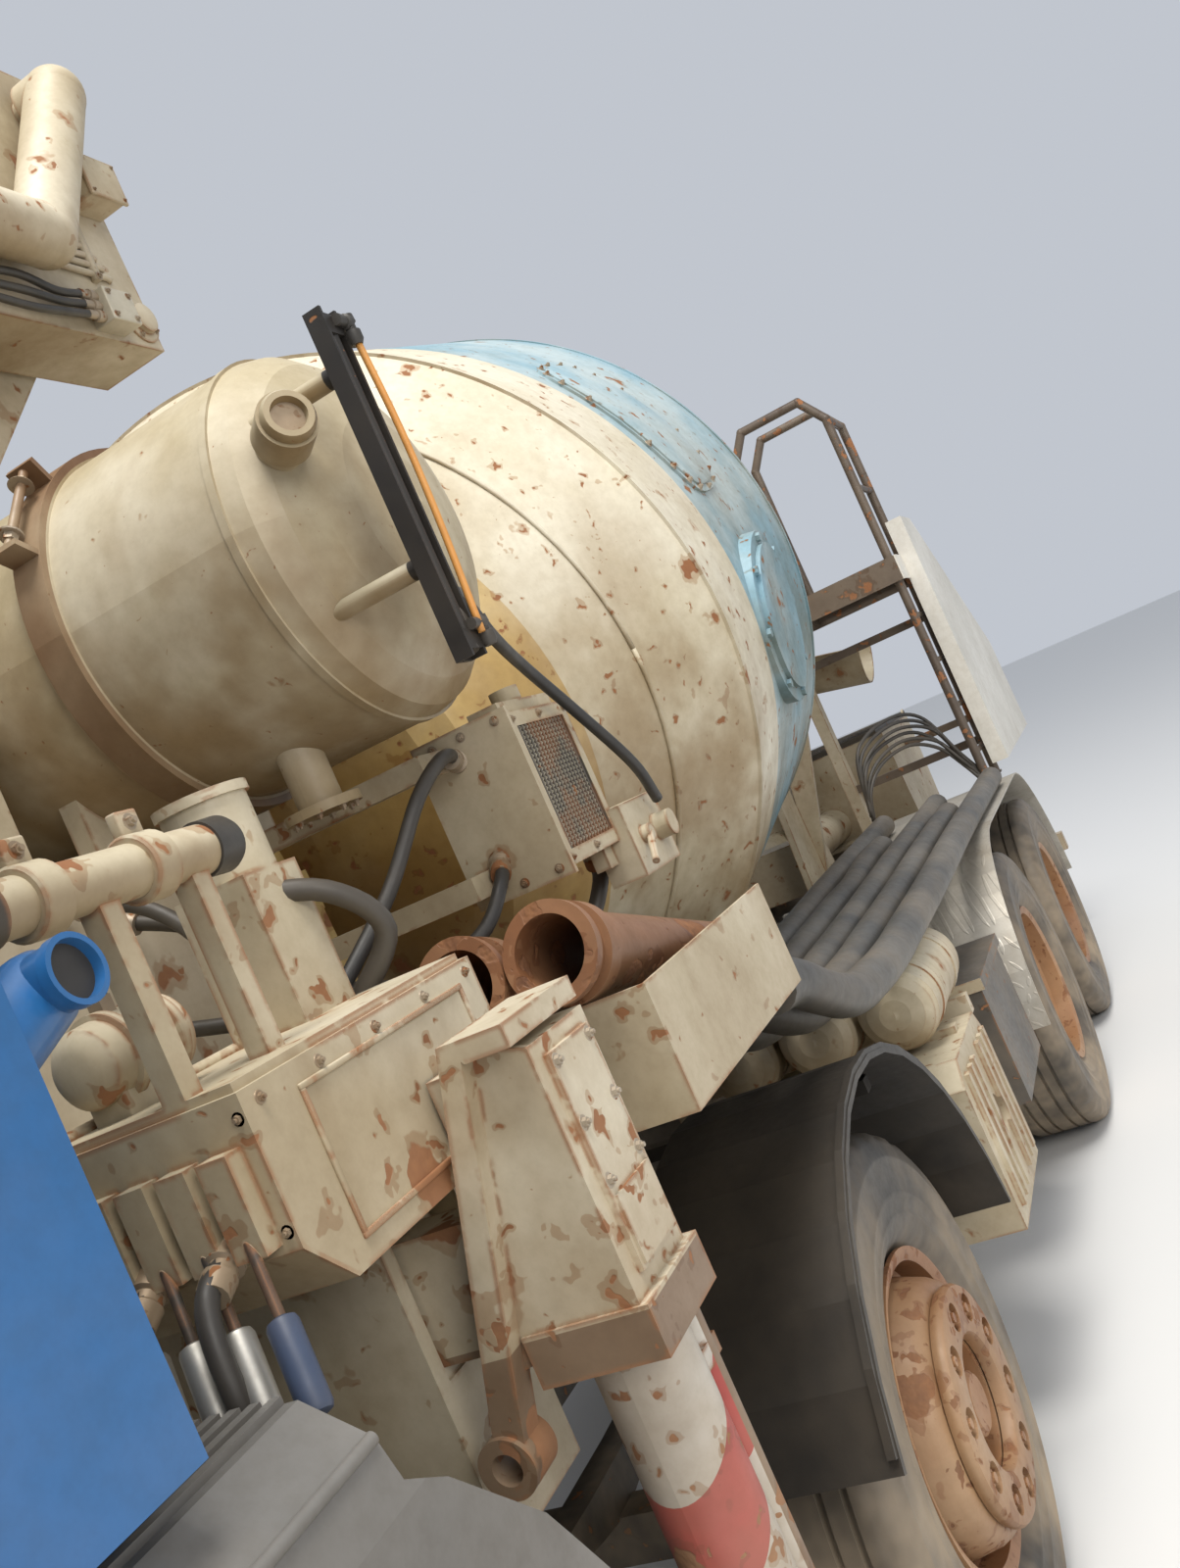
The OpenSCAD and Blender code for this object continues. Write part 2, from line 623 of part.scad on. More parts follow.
module front_guards() {
    t = 12;
    color(grey) both_sides() {
        // First axle: a thin arch in front, and the moulded shell behind with its ribbed top
        guard(ax1, 22, 77, guard_r, 14, 880, guard_y);
        difference() {
            moulded_shape(0);
            difference() {
                moulded_shape(t);
                along_y(ax1, 850, guard_y + 1, wheel_z, 2*(guard_r + t));
            }
            along_y(ax1, 850, guard_y + 1, wheel_z, 2*guard_r);
        }
        for (i = [0 : 8])
            span(ax1 - 294, ax1 + 120, 872 + 25*i, 885 + 25*i, guard_top - 1, guard_top + 8);
        along_x(ax1 - 294, ax1 + 130, 1160, guard_top - 50, 14);
    }
    color(dark) both_sides() {
        guard(ax2, 22, 172, guard_r, 12, 860, body_w/2);
        // Rolled edge on the outside of the arch
        guard(ax2, 24, 170, guard_r + 6, 16, body_w/2 - 16, body_w/2 - 2);
        for (dx = [-330, 330]) guard_arm(ax2, dx, guard_r);
        guard_arm(ax1, -330, guard_r);
        guard_arm(ax1, 330, guard_r);
    }
}

// Chequer plate over the rear axles: arched ends and a flat between
module rear_guards() {
    r = guard_r - 20;
    color(alloy) both_sides() {
        side_plate(concat(arc(ax4, wheel_z, r, 178, 90, 10), arc(ax3, wheel_z, r, 90, 2, 10),
            arc(ax3, wheel_z, r + 6, 2, 90, 10), arc(ax4, wheel_z, r + 6, 90, 178, 10)), 640, body_w/2);
    }
    color(dark) both_sides() {
        guard_arm(ax3, 150, r);
        guard_arm(ax4, -150, r);
    }
}

// Drum profile: radius at a distance along the axis, offset inwards by i
function drum_points(i) = [
    [0, 26 + i], [300, 26 + i], [620, 70 + i], [drum_d/2*0.62, 110 + i],
    [drum_d/2 - i, drum_front], [drum_d/2 - i, drum_front + drum_mid],
    [mouth_d/2 - i, drum_l + (i > 0 ? 5 : 0)], [0, drum_l + (i > 0 ? 5 : 0)]];
ring_s = drum_l - 560;
ring_r = mouth_d/2 + (drum_d - mouth_d)/2*(drum_l - ring_s)/drum_rear + 28;
module at_drum() {
    translate([head_x, 0, drum_z]) rotate([0, -90 + drum_tilt, 0]) children();
}
module drum() {
    color(paint) at_drum() {
        difference() {
            rotate_extrude() polygon(drum_points(0));
            rotate_extrude() polygon(drum_points(drum_wall));
        }
        // Weld beads between the cones and the straight middle
        difference() {
            for (s = [drum_front, drum_front + drum_mid]) translate([0, 0, s - 9]) cylinder(r = drum_d/2 + 4, h = 18);
            rotate_extrude() polygon(drum_points(drum_wall/2));
        }
        // Manhole with its cover and bolts
        difference() {
            rotate(100) translate([drum_d/2 - 40, 0, drum_front + drum_mid/2]) rotate([0, 90, 0]) {
                cylinder(d = 520, h = 52);
                cylinder(d = 440, h = 66);
                for (i = [0 : 7]) rotate(45*i) translate([240, 0, 50]) cylinder(d = 28, h = 14, $fn = 6);
            }
            rotate_extrude() polygon(drum_points(drum_wall/2));
        }
        // Roller track
        difference() {
            translate([0, 0, ring_s - 50]) cylinder(r = ring_r, h = 100);
            rotate_extrude() polygon(drum_points(drum_wall/2));
        }
        // Collar at the mouth
        translate([0, 0, drum_l - 20]) difference() {
            cylinder(d = mouth_d + 50, h = 20);
            translate([0, 0, -1]) cylinder(d = mouth_d - 30, h = 22);
        }
    }
}

// Drum gearbox and its hydraulic motor on the front stand
module drum_drive() {
    color(ochre) at_drum() {
        translate([0, 0, 26 - seat - 60]) cylinder(d = 420, h = 60);
        translate([0, 0, -200]) cylinder(d = 340, h = 180);
        translate([0, 0, -300]) cylinder(d = 200, h = 120);
        translate([0, 0, -390]) cylinder(d = 150, h = 100);
    }
    // Stand: two plates and a cross plate on the subframe
    color(paint) {
        both_sides() side_plate([[head_x + 60, deck_z], [head_x + 400, deck_z],
            [head_x + 230, drum_z - 60], [head_x + 110, drum_z - 60]], 320, 345);
        span(head_x + 100, head_x + 240, -345, 345, drum_z - 150, drum_z - 110);
        span(head_x + 60, head_x + 400, -345, 345, deck_z, deck_z + 20);
        span(head_x + 110, head_x + 230, -80, 80, drum_z - 112, drum_z - 60);
    }
}

// Rear stand with the two rollers that carry the drum's track
roller_d = 240;
roller_a = 34;
module drum_stand() {
    x = drum_x(ring_s);
    z = drum_h(ring_s);
    reach = ring_r + roller_d/2 + seat;
    color(paint) {
        both_sides() {
            at_drum() rotate(180 + roller_a) translate([reach, 0, ring_s - 60]) difference() {
                cylinder(d = roller_d, h = 120);
                translate([0, 0, -1]) cylinder(d = 40, h = 122);
            }
            at_drum() rotate(180 + roller_a) translate([reach, 0, ring_s - 110]) cylinder(d = 40 - 2*seat, h = 220);
            // Bearing cheeks before and behind each roller
            at_drum() rotate(180 + roller_a) for (s = [-1, 1])
                translate([reach - 60, -90, ring_s + s*90 - 15]) cube([200, 180, 30]);
            // Post down to the subframe
            yb = (ring_r + roller_d)*sin(roller_a);
            side_plate([[x - 230, deck_z], [x + 330, deck_z],
                [x + 170, z - reach*cos(roller_a) - 70], [x - 40, z - reach*cos(roller_a) - 70]], 320, 350);
        }
        span(x - 60, x + 60, -420, 420, z - ring_r - 260, z - ring_r - 200);
        both_sides() front_plate([[300, deck_z + 10], [345, deck_z + 10], [620, z - reach*cos(roller_a) - 60],
            [430, z - reach*cos(roller_a) - 60]], x - 10, x + 20);
    }
}

// Boom tower: oil tank and cabinet below, slanted box above, beside the water tank
tower_y = 480;
base_x0 = head_x + 470;
base_x1 = slew_x + 290;
base_z1 = tank_z - tank_d/2 - 30;
module tower() {
    z0 = deck_z;
    neck = tank_x + tank_d/2 + 20;
    color(paint) {
        // Cabinet, notched over the outrigger box
        difference() {
            span(base_x0, base_x1, -tower_y, tower_y, z0, base_z1);
            span(column_x - 110 - seat, column_x + 110 + seat, -tower_y - 1, tower_y + 1, z0 - 1,
                beam_z1 + 15 + seat);
        }
        // Saddles under the tank
        for (s = [-1, 1]) difference() {
            span(tank_x - 240, tank_x + 240, s*(tower_y - 60) - 20, s*(tower_y - 60) + 20, base_z1 - 1, tank_z - 180);
            along_y(tank_x, -tower_y - 10, tower_y + 10, tank_z, tank_d + 2*seat);
        }
        // Neck up to the slewing ring
        side_plate([[neck, base_z1 - 1], [base_x1, base_z1 - 1], [slew_x + 270, slew_z - 60], [neck, slew_z - 60]],
            -400, 400);
        translate([slew_x, 0, slew_z - 61]) cylinder(d = 560, h = 61 - run);
        translate([slew_x, 0, slew_z - 61]) cylinder(d = 480, h = 61 - seat);
    }
}

// Turret: slewing ring, base plate and two side plates that lean back to the heel pin
fork_in = 165;
module turret() {
    color(paint) {
        translate([slew_x, 0, slew_z]) cylinder(d = 600, h = 40);
        span(lift_base[0] - 90, slew_x + 250, -fork_in - turret_t, fork_in + turret_t, slew_z + 20, slew_z + 45);
        // Slewing motors between the side plates
        both_sides() {
            translate([slew_x + 190, 108, slew_z + 44]) cylinder(d = 90, h = 70);
            translate([slew_x + 190, 108, slew_z + 113]) cylinder(d = 66, h = 30);
        }
        both_sides() difference() {
            side_plate([[lift_base[0] - 90, slew_z + 20], [slew_x + 250, slew_z + 20], [slew_x + 180, slew_z + 160],
                [heel_x + 420, heel_z + 60], [heel_x + 120, heel_z + 160], [heel_x - 60, heel_z + 150],
                [heel_x - 150, heel_z + 20], [heel_x - 110, heel_z - 120], [lift_base[0] - 330, slew_z + 160]],
                fork_in, fork_in + turret_t);
            along_y(heel_x, fork_in - 1, fork_in + turret_t + 1, heel_z, 100.2);
            along_y(lift_base[0], fork_in - 1, fork_in + turret_t + 1, lift_base[1], 70.2);
        }
    }
}

// Sections of the boom: welded boxes with round ends at the pins
section1_y = [-145, 145];
section2_y = [215, 395];
section3_y = [-30, 190];
module section_box(x0, x1, y, z, h, t = 10) {
    difference() {
        side_plate([[x0, z - h/2], [x1, z - h/2], [x1, z + h/2], [x0, z + h/2]], y[0], y[1]);
        side_plate([[x0 + t, z - h/2 + t], [x1 - t, z - h/2 + t], [x1 - t, z + h/2 - t], [x0 + t, z + h/2 - t]],
            y[0] + t, y[1] - t);
    }
}
line_d = 125;
module boom_1() {
    h = section_h;
    pipe_y = section1_y[0] - 145;
    // Delivery line with its couplings, held off the section by clamps
    color(paint) {
        tube([[heel_x, pipe_y - 10, heel_z], [elbow1_x, pipe_y - 10, heel_z], [elbow1_x, section1_y[0] - 36, heel_z]], line_d);
        for (x = [heel_x + 1020 : 800 : elbow1_x - 200]) {
            span(x - 20, x + 20, pipe_y, section1_y[0] + 1, heel_z - 30, heel_z + 30);
            along_x(x - 26, x + 26, pipe_y - 10, heel_z, line_d + 22);
        }
        // Web under the front end of the box
        side_plate([[elbow1_x - 700, heel_z - h/2 + 1], [elbow1_x - 120, heel_z - h/2 + 1],
            [elbow1_x - 260, heel_z - h/2 - 50], [elbow1_x - 600, heel_z - h/2 - 50]], -12, 12);
    }
    color(paint) {
        difference() {
            union() {
                section_box(heel_x, elbow1_x, section1_y, heel_z, h);
                along_y(heel_x, section1_y[0], section1_y[1], heel_z, h);
                along_y(elbow1_x, section1_y[0], section1_y[1], heel_z, h);
            }
            along_y(elbow1_x, section1_y[0] - 1, section1_y[1] + 1, heel_z, 90.2);
        }
        // Heel pin, through both side plates of the turret
        along_y(heel_x, -fork_in - turret_t - 20, fork_in + turret_t + 20, heel_z, 100);
        // Cheeks for the lift cylinder's rod
        for (s = [-1, 1])
            side_plate([[lift_eye[0] - 150, heel_z - h/2 + 1], [lift_eye[0] - 50, lift_eye[1] - 60],
                [lift_eye[0] + 50, lift_eye[1] - 60], [lift_eye[0] + 150, heel_z - h/2 + 1]],
                s*75 - 10, s*75 + 10);
    }
}

// Second section, beside the first, folded back from the front elbow
module boom_2() {
    h = section_h;
    y = section2_y;
    pipe_y = y[1] + 85;
    color(paint) {
        tube([[elbow1_x, y[1] + 5, heel_z], [elbow1_x, pipe_y, heel_z], [elbow2_x + 250, pipe_y, heel_z],
            [elbow2_x, pipe_y, elbow2_z], [elbow2_x, y[1] + 22, elbow2_z]], line_d);
        for (x = [elbow2_x + 500 : 800 : elbow1_x - 200]) {
            span(x - 20, x + 20, y[1] - 1, pipe_y, heel_z - 30, heel_z + 30);
            along_x(x - 26, x + 26, pipe_y, heel_z, line_d + 22);
        }
    }
    color(paint) difference() {
        union() {
            section_box(elbow2_x, elbow1_x, y, heel_z, h);
            along_y(elbow1_x, y[0], y[1], heel_z, h);
            // Raised ear that carries the rear elbow's pin
            side_plate([[elbow2_x - 130, heel_z - h/2], [elbow2_x + 420, heel_z - h/2],
                [elbow2_x + 380, heel_z + h/2], [elbow2_x + 110, elbow2_z + 60], [elbow2_x + 60, elbow2_z + 110],
                [elbow2_x - 60, elbow2_z + 110], [elbow2_x - 110, elbow2_z + 60]], y[0], y[1]);
            // Elbow pin, through the first section's nose
            along_y(elbow1_x, section1_y[0] - 30, y[1] + 15, heel_z, 90);
        }
        along_y(elbow2_x, y[0] - 1, y[1] + 1, elbow2_z, 80.2);
    }
}

// Third section, on top, with its pin in the second section's ear
tip_x = front_x - 420;
module boom_3() {
    h = section_h - 60;
    color(paint) {
        section_box(elbow2_x, tip_x, section3_y, elbow2_z, h, 8);
        along_y(elbow2_x, section3_y[0], section3_y[1], elbow2_z, h);
        along_y(elbow2_x, section3_y[1] - 10, section2_y[1] + 15, elbow2_z, 80);
        // Delivery line beside the section, which turns into the outlet at the tip
        tube([[elbow2_x, section3_y[0] + 5, elbow2_z], [elbow2_x, section3_y[0] - 80, elbow2_z],
            [tip_x - 260, section3_y[0] - 80, elbow2_z], [tip_x - 150, section3_y[0] + 5, elbow2_z]], 114);
        for (x = [elbow2_x + 500 : 800 : tip_x - 400]) {
            span(x - 20, x + 20, section3_y[0] - 80, section3_y[0] + 1, elbow2_z - 25, elbow2_z + 25);
            along_x(x - 26, x + 26, section3_y[0] - 80, elbow2_z, 136);
        }
        // Outlet of the delivery line at the tip
        along_x(tip_x - 5, tip_x + 120, (section3_y[0] + section3_y[1])/2, elbow2_z, 114);
    }
}

// Lift cylinder: the barrel turns on the turret and its rod follows the boom
lift_a = atan2(lift_eye[1] - lift_base[1], lift_eye[0] - lift_base[0]);
lift_l = norm([lift_eye[0] - lift_base[0], lift_eye[1] - lift_base[1]]);
module at_lift() {
    translate([lift_base[0], 0, lift_base[1]]) rotate([0, 90 - lift_a, 0]) children();
}
module lift_barrel() {
    color(paint) {
        at_lift() difference() {
            union() {
                cylinder(d = 130, h = lift_l - 130);
                rotate([90, 0, 0]) cylinder(d = 130, h = 120, center = true);
            }
            translate([0, 0, 90]) cylinder(d = 80.2, h = lift_l);
        }
        along_y(lift_base[0], -fork_in - turret_t - 8, fork_in + turret_t + 8, lift_base[1], 70);
    }
}
module lift_rod() {
    color("silver") at_lift() {
        translate([0, 0, 110]) cylinder(d = 80, h = lift_l - 110);
        translate([0, 0, lift_l]) rotate([90, 0, 0]) difference() {
            cylinder(d = 110, h = 100, center = true);
            cylinder(d = 60, h = 102, center = true);
        }
        translate([0, 0, lift_l]) rotate([90, 0, 0]) cylinder(d = 60.5, h = 120, center = true);
    }
}

// Water tank: cylinder with dished ends, across the truck, with straps and a sight gauge
module water_tank() {
    r = tank_d/2;
    dome = 150;
    straight = tank_l/2 - dome;
    color(paint) {
        translate([tank_x, 0, tank_z]) rotate([-90, 0, 0]) rotate_extrude() polygon(concat(
            [[0, -tank_l/2]],
            [for (i = [1 : 6]) [r*sin(15*i), -straight - dome*cos(15*i)]],
            [for (i = [6 : -1 : 1]) [r*sin(15*i), straight + dome*cos(15*i)]],
            [[0, tank_l/2]]));
    }
    color(rust) for (y = [-600, 600]) translate([tank_x, y, tank_z]) rotate([90, 0, 0]) difference() {
        cylinder(d = tank_d + 36, h = 60, center = true);
        cylinder(d = tank_d - 4, h = 62, center = true);
    }
    // Lugs and bolts that draw each strap tight, towards the front
    color(rust) for (y = [-600, 600]) for (s = [-1, 1]) {
        translate([tank_x, y, tank_z]) rotate([0, s*14 - 38, 0]) span(r + 10, r + 62, -28, 28, -5, 5);
        translate([tank_x, y, tank_z]) rotate([0, -38, 0]) translate([r + 40, 0, -90]) cylinder(d = 16, h = 180);
    }
    color(paint) both_sides() {
        // Weld beads where the domes start
        translate([tank_x, straight, tank_z]) rotate([90, 0, 0]) difference() {
            cylinder(d = tank_d + 6, h = 14, center = true);
            cylinder(d = tank_d - 4, h = 16, center = true);
        }
    }
    color(paint) {
        // Filler with its lid on top, and the outlet with its flange below
        translate([tank_x, -250, tank_z + r - 20]) cylinder(d = 160, h = 80);
        translate([tank_x, -250, tank_z + r + 58]) cylinder(d = 190, h = 24);
        translate([tank_x + 110, 780, tank_z - r - 70]) cylinder(d = 76, h = 130);
        translate([tank_x + 110, 780, tank_z - r - 78]) cylinder(d = 130, h = 16);
        // Nozzle boss low on the left dome
        bar([tank_x + 190, straight + 30, tank_z + 90], [tank_x + 280, straight + 130, tank_z + 105], 70);
        bar([tank_x + 262, straight + 110, tank_z + 102], [tank_x + 300, straight + 152, tank_z + 108], 90);
    }
    // Sight gauge beside the left dome: a channel on two stubs, with the tube in it
    color(dark) {
        gx = tank_x + 230;
        gy = tank_l/2 + 65;
        for (s = [-1, 1]) along_y(gx, straight + 10, gy + 2, tank_z + s*150, 30);
        span(gx - 24, gx + 24, gy, gy + 6, tank_z - 300, tank_z + 240);
        for (s = [-1, 1]) span(gx + s*21 - 3, gx + s*21 + 3, gy, gy + 30, tank_z - 300, tank_z + 240);
        for (dz = [-290, 200]) span(gx - 20, gx + 20, gy, gy + 30, tank_z + dz, tank_z + dz + 30);
        translate([gx, gy + 18, tank_z - 270]) cylinder(d = 20, h = 480);
    }
}

// Oil cooler: fins face outwards, and the fan behind them has a wire guard; bracket from the tower
module oil_cooler() {
    x0 = ax2 + 120;
    x1 = ax2 + 375;
    y0 = 960;
    y1 = 1050;
    z0 = 1760;
    z1 = 2040;
    color(paint) {
        difference() {
            span(x0, x1, y0, y1, z0, z1);
            span(x0 + 24, x1 - 24, y1 - 12, y1 + 1, z0 + 26, z1 - 26);
        }
        // Header on top with its cap
        span(x0 + 12, x1 - 12, y0 + 15, y1 - 15, z1 - 1, z1 + 24);
        translate([(x0 + x1)/2, (y0 + y1)/2, z1 + 23]) cylinder(d = 54, h = 28);
        // Shroud and motor of the fan
        translate([(x0 + x1)/2, y0 + 1, (z0 + z1)/2]) rotate([90, 0, 0]) {
            difference() {
                cylinder(d = 250, h = 60);
                translate([0, 0, 12]) cylinder(d = 238, h = 50);
            }
            cylinder(d = 90, h = 100);
            for (a = [0 : 60 : 300]) rotate(a) translate([40, -18, 26]) rotate([35, 0, 0]) cube([70, 36, 4]);
            for (a = [0 : 90 : 270]) rotate(a) translate([38, -4, 58]) cube([86, 8, 6]);
            for (d = [130, 180, 230]) translate([0, 0, 58]) difference() {
                cylinder(d = d, h = 6, $fn = 32);
                translate([0, 0, -1]) cylinder(d = d - 12, h = 8, $fn = 32);
            }
        }
        // Side plate towards the front, with two arms from the tower
        span(x1 - 1, x1 + 10, 860, y1 + 6, z0 - 12, z1 + 12);
        for (dz = [10, 230]) {
            span(x1 + 5, base_x0 + 60, 880, 920, z0 + dz, z0 + dz + 40);
            span(base_x0 + 20, base_x0 + 60, tower_y + seat, 881, z0 + dz, z0 + dz + 40);
        }
        // Valve block below and behind, on a tab
        span(x0 - 180, x0 + 20, 1000, 1075, z0 - 80, z0 + 60);
        span(x0 - 20, x0 + 60, 1000, 1030, z0 - 40, z0 + 10);
        along_y(x0 - 120, 1074, 1110, z0 - 10, 52);
        along_y(x0 - 40, 1074, 1094, z0 - 10, 34);
        bar([x0 - 40, 1088, z0 - 10], [x0 + 30, 1104, z0 - 60], 14);
    }
    color(grey) for (i = [0 : 13])
        span(x0 + 31 + 14.5*i, x0 + 36 + 14.5*i, y1 - 13, y1 - 2, z0 + 25, z1 - 25);
}

// Valve bank with its hand levers, the grease pump with its pot, and the pipe with an end cap
module controls() {
    x0 = ax2 + 880;
    x1 = ax2 + 1400;
    y1 = column_in - 5;
    z0 = 1500;
    z1 = 1725;
    color(paint) {
        // Box, bevelled towards the levers
        side_plate([[x0, z0], [x1 - 60, z0], [x1, z0 + 60], [x1, z1], [x0, z1]], 780, y1);
        span(x0 + 40, x0 + 330, tower_y + seat, 781, z0 + 20, z1 - 60);
        // Lid and its hinge
        span(x0 + 10, x1 - 10, 790, y1 - 10, z1 - 1, z1 + 10);
        along_x(x0 + 40, x1 - 40, 796, z1 + 12, 18);
        // Spools along the front
        for (i = [0 : 4]) span(x1 - 1, x1 + 26, 800 + 56*i, 840 + 56*i, z0 + 70, z1 - 50);
        // Grease pump and its pot
        span(x0 + 30, x0 + 150, 800, 920, z1 + 5, z1 + 215);
        translate([x0 + 90, 860, z1 + 214]) cylinder(d = 120, h = 110);
        translate([x0 + 90, 860, z1 + 323]) cylinder(d = 132, h = 14);
    }
    // Manifold pipe over the box, with a capped end and two props
    color(paint) {
        along_x(x1 - 220, x1 + 120, 1000, z1 + 250, 60);
        for (x = [x1 - 190, x1 - 40]) span(x, x + 30, 985, 1015, z1 + 5, z1 + 226);
    }
    color(dark) along_x(x1 + 118, x1 + 165, 1000, z1 + 250, 70);
    // Levers that hang in front of the spools, each with a round grip
    color(grey) for (i = [0 : 4]) {
        bar([x1 + 20, 820 + 56*i, z0 + 90], [x1 + 55, 850 + 56*i, z0 + 5], 12);
        bar([x1 + 53, 848 + 56*i, z0 + 10], [x1 + 80, 870 + 56*i, z0 - 55], 28);
    }
}

// Transverse outrigger box, with a guide at each side
module outrigger_box() {
    color(paint) difference() {
        span(column_x - 110, column_x + 110, 135 - column_in, column_in - 135, deck_z, beam_z1 + 15);
        span(column_x - 85, column_x + 85, -column_in, column_in, beam_z0 - 15, beam_z1 - 5);
    }
    // Wear pads under the beams
    color(paint) both_sides() for (y = [200, column_in - 180])
        span(column_x - 80, column_x + 80, y, y + 40, beam_z0 - 16, beam_z0 - seat);
}

// Sliding beam with the jack column at its end; the leg slides in the column
module outrigger(left) {
    x0 = column_x - column_w/2;
    x1 = column_x + column_w/2;
    y1 = body_w/2 - 12;
    color(paint) on_side(left) difference() {
        union() {
            // Left and right beams lie beside each other in the box
            span(left ? column_x + 4 : column_x - 78, left ? column_x + 78 : column_x - 4, -column_in + 180,
                column_in + 30, beam_z0, beam_z0 + 160);
            span(x0, x1, column_in, y1, column_z0, column_top);
            // Collar round the foot of the column
            span(x0 - 15, x1 + 15, column_in - 12, y1 + 12, column_z0 - 30, column_z0 + 35);
            // Cover panel on the outer face, with its lower half raised
            span(x0 + 18, x1 - 18, y1 - 1, y1 + 8, column_z0 + 60, column_top - 20);
            span(x0 + 24, x1 - 24, y1 - 1, y1 + 12, column_z0 + 66, column_z0 + 150);
            // Gusset towards the front, with a flange along its edge and the lug of a locking pin
            front_plate([[y1, column_z0 + 30], [y1, column_top], [y1 - 80, column_top + 25],
                [column_in - 60, column_z0 - 10]], x1 - 1, x1 + 10);
            front_plate([[y1 - 90, column_top + 40], [y1 - 62, column_top + 30], [column_in - 55, column_z0 - 100],
                [column_in - 95, column_z0 - 90]], x1 - 1, x1 + 42);
            front_plate([[y1 - 90, column_top + 40], [y1 - 62, column_top + 12], [y1, column_top + 12],
                [y1, column_top + 40]], x0, x1 + 42);
            along_x(x1 - 12, x1 + 50, column_in - 78, column_z0 - 95, 76);
            // Jack tube, which hangs from the column, with a pipe beside it
            translate([column_x, jack_y, jack_z0]) cylinder(d = leg_d, h = column_z0 - jack_z0);
            translate([x0 + 2, jack_y + 30, jack_z0 + 40]) cylinder(d = 44, h = column_z0 - jack_z0 - 50);
            for (z = [jack_z0 + 60, column_z0 - 120])
                span(x0 - 18, column_x - 20, jack_y + 10, jack_y + 50, z, z + 26);
        }
        translate([column_x, jack_y, jack_z0 - 1])
            cylinder(d = jack_rod_d + 0.2, h = column_top - jack_z0 - 30);
        along_x(x1 - 20, x1 + 60, column_in - 78, column_z0 - 95, 40);
    }
}
module outrigger_l() { outrigger(true); }
module outrigger_r() { outrigger(false); }

// Jack rod and its round foot
module leg(left) {
    color("silver") on_side(left) translate([column_x, jack_y, 0]) {
        translate([0, 0, jack_z0 - 22]) cylinder(d = jack_rod_d, h = column_top - 62 - jack_z0);
        translate([0, 0, jack_z0 - 52]) cylinder(d = 190, h = 14);
        translate([0, 0, jack_z0 - 39]) cylinder(d = 130, h = 20);
    }
}
module leg_l() { leg(true); }
module leg_r() { leg(false); }

// Sheet tray above the second axle, on both sides
tray_x0 = ax2 + 110;
tray_x1 = ax2 + 760;
tray_z = 1400;
tray_h = 190;
module tray() {
    color([0.6, 0.58, 0.5]) both_sides() difference() {
        span(tray_x0, tray_x1, tower_y + seat, body_w/2, tray_z, tray_z + tray_h);
        span(tray_x0 - 1, tray_x1 - 6, tower_y + 6, body_w/2 - 6, tray_z + 6, tray_z + tray_h + 1);
    }
}

// Two rusty delivery pipes with collars: they lean on the front wall of the left tray
module delivery_pipes() {
    d = 125;
    collar_r = d/2 + 12;
    low = [tray_x0 + 22, tray_z + 6 + seat];
    high = [tray_x1 - 6, tray_z + tray_h + seat];
    tilt = atan2(high[1] - low[1], high[0] - low[0]);
    reach = norm(high - low);
    color(rust) for (y = [1000, 1152]) {
        translate([low[0], y, low[1]]) rotate([0, -tilt, 0]) translate([0, 0, collar_r + seat]) difference() {
            union() {
                along_x(0, reach + 60, 0, 0, d);
                for (x = [0, reach - 15]) along_x(x, x + 30, 0, 0, 2*collar_r);
                along_x(reach + 45, reach + 60, 0, 0, 2*collar_r);
            }
            along_x(-1, reach + 61, 0, 0, d - 16);
        }
    }
}

// A loose rubber hose: one skin swept along its route, with a ring of n points at each station
module hose(row, n = 10) {
    y = hose_rows[row][0];
    last = hose_rows[row][1] - 1;
    swing = hose_rows[row][2];
    route = [for (i = [0 : last]) let (p = hose_line[i])
        [p[0], y + (i > 8 ? swing*sin(90*(i - 9)) : 0), p[1]]];
    function along(i) = route[min(i + 1, last)] - route[max(i - 1, 0)];
    function across(i) = let (v = cross([0, 0, 1], along(i))) v/norm(v);
    function over(i) = let (v = cross(along(i), across(i))) v/norm(v);
    points = [for (i = [0 : last]) for (k = [0 : n - 1])
        route[i] + hose_d/2*(cos(360*k/n)*across(i) + sin(360*k/n)*over(i))];
    walls = [for (i = [0 : last - 1]) for (k = [0 : n - 1]) let (m = (k + 1)%n)
        each [[i*n + k, (i + 1)*n + k, (i + 1)*n + m], [i*n + k, (i + 1)*n + m, i*n + m]]];
    color(rubber) polyhedron(points,
        concat(walls, [[for (k = [0 : n - 1]) k]], [[for (k = [n - 1 : -1 : 0]) last*n + k]]));
}

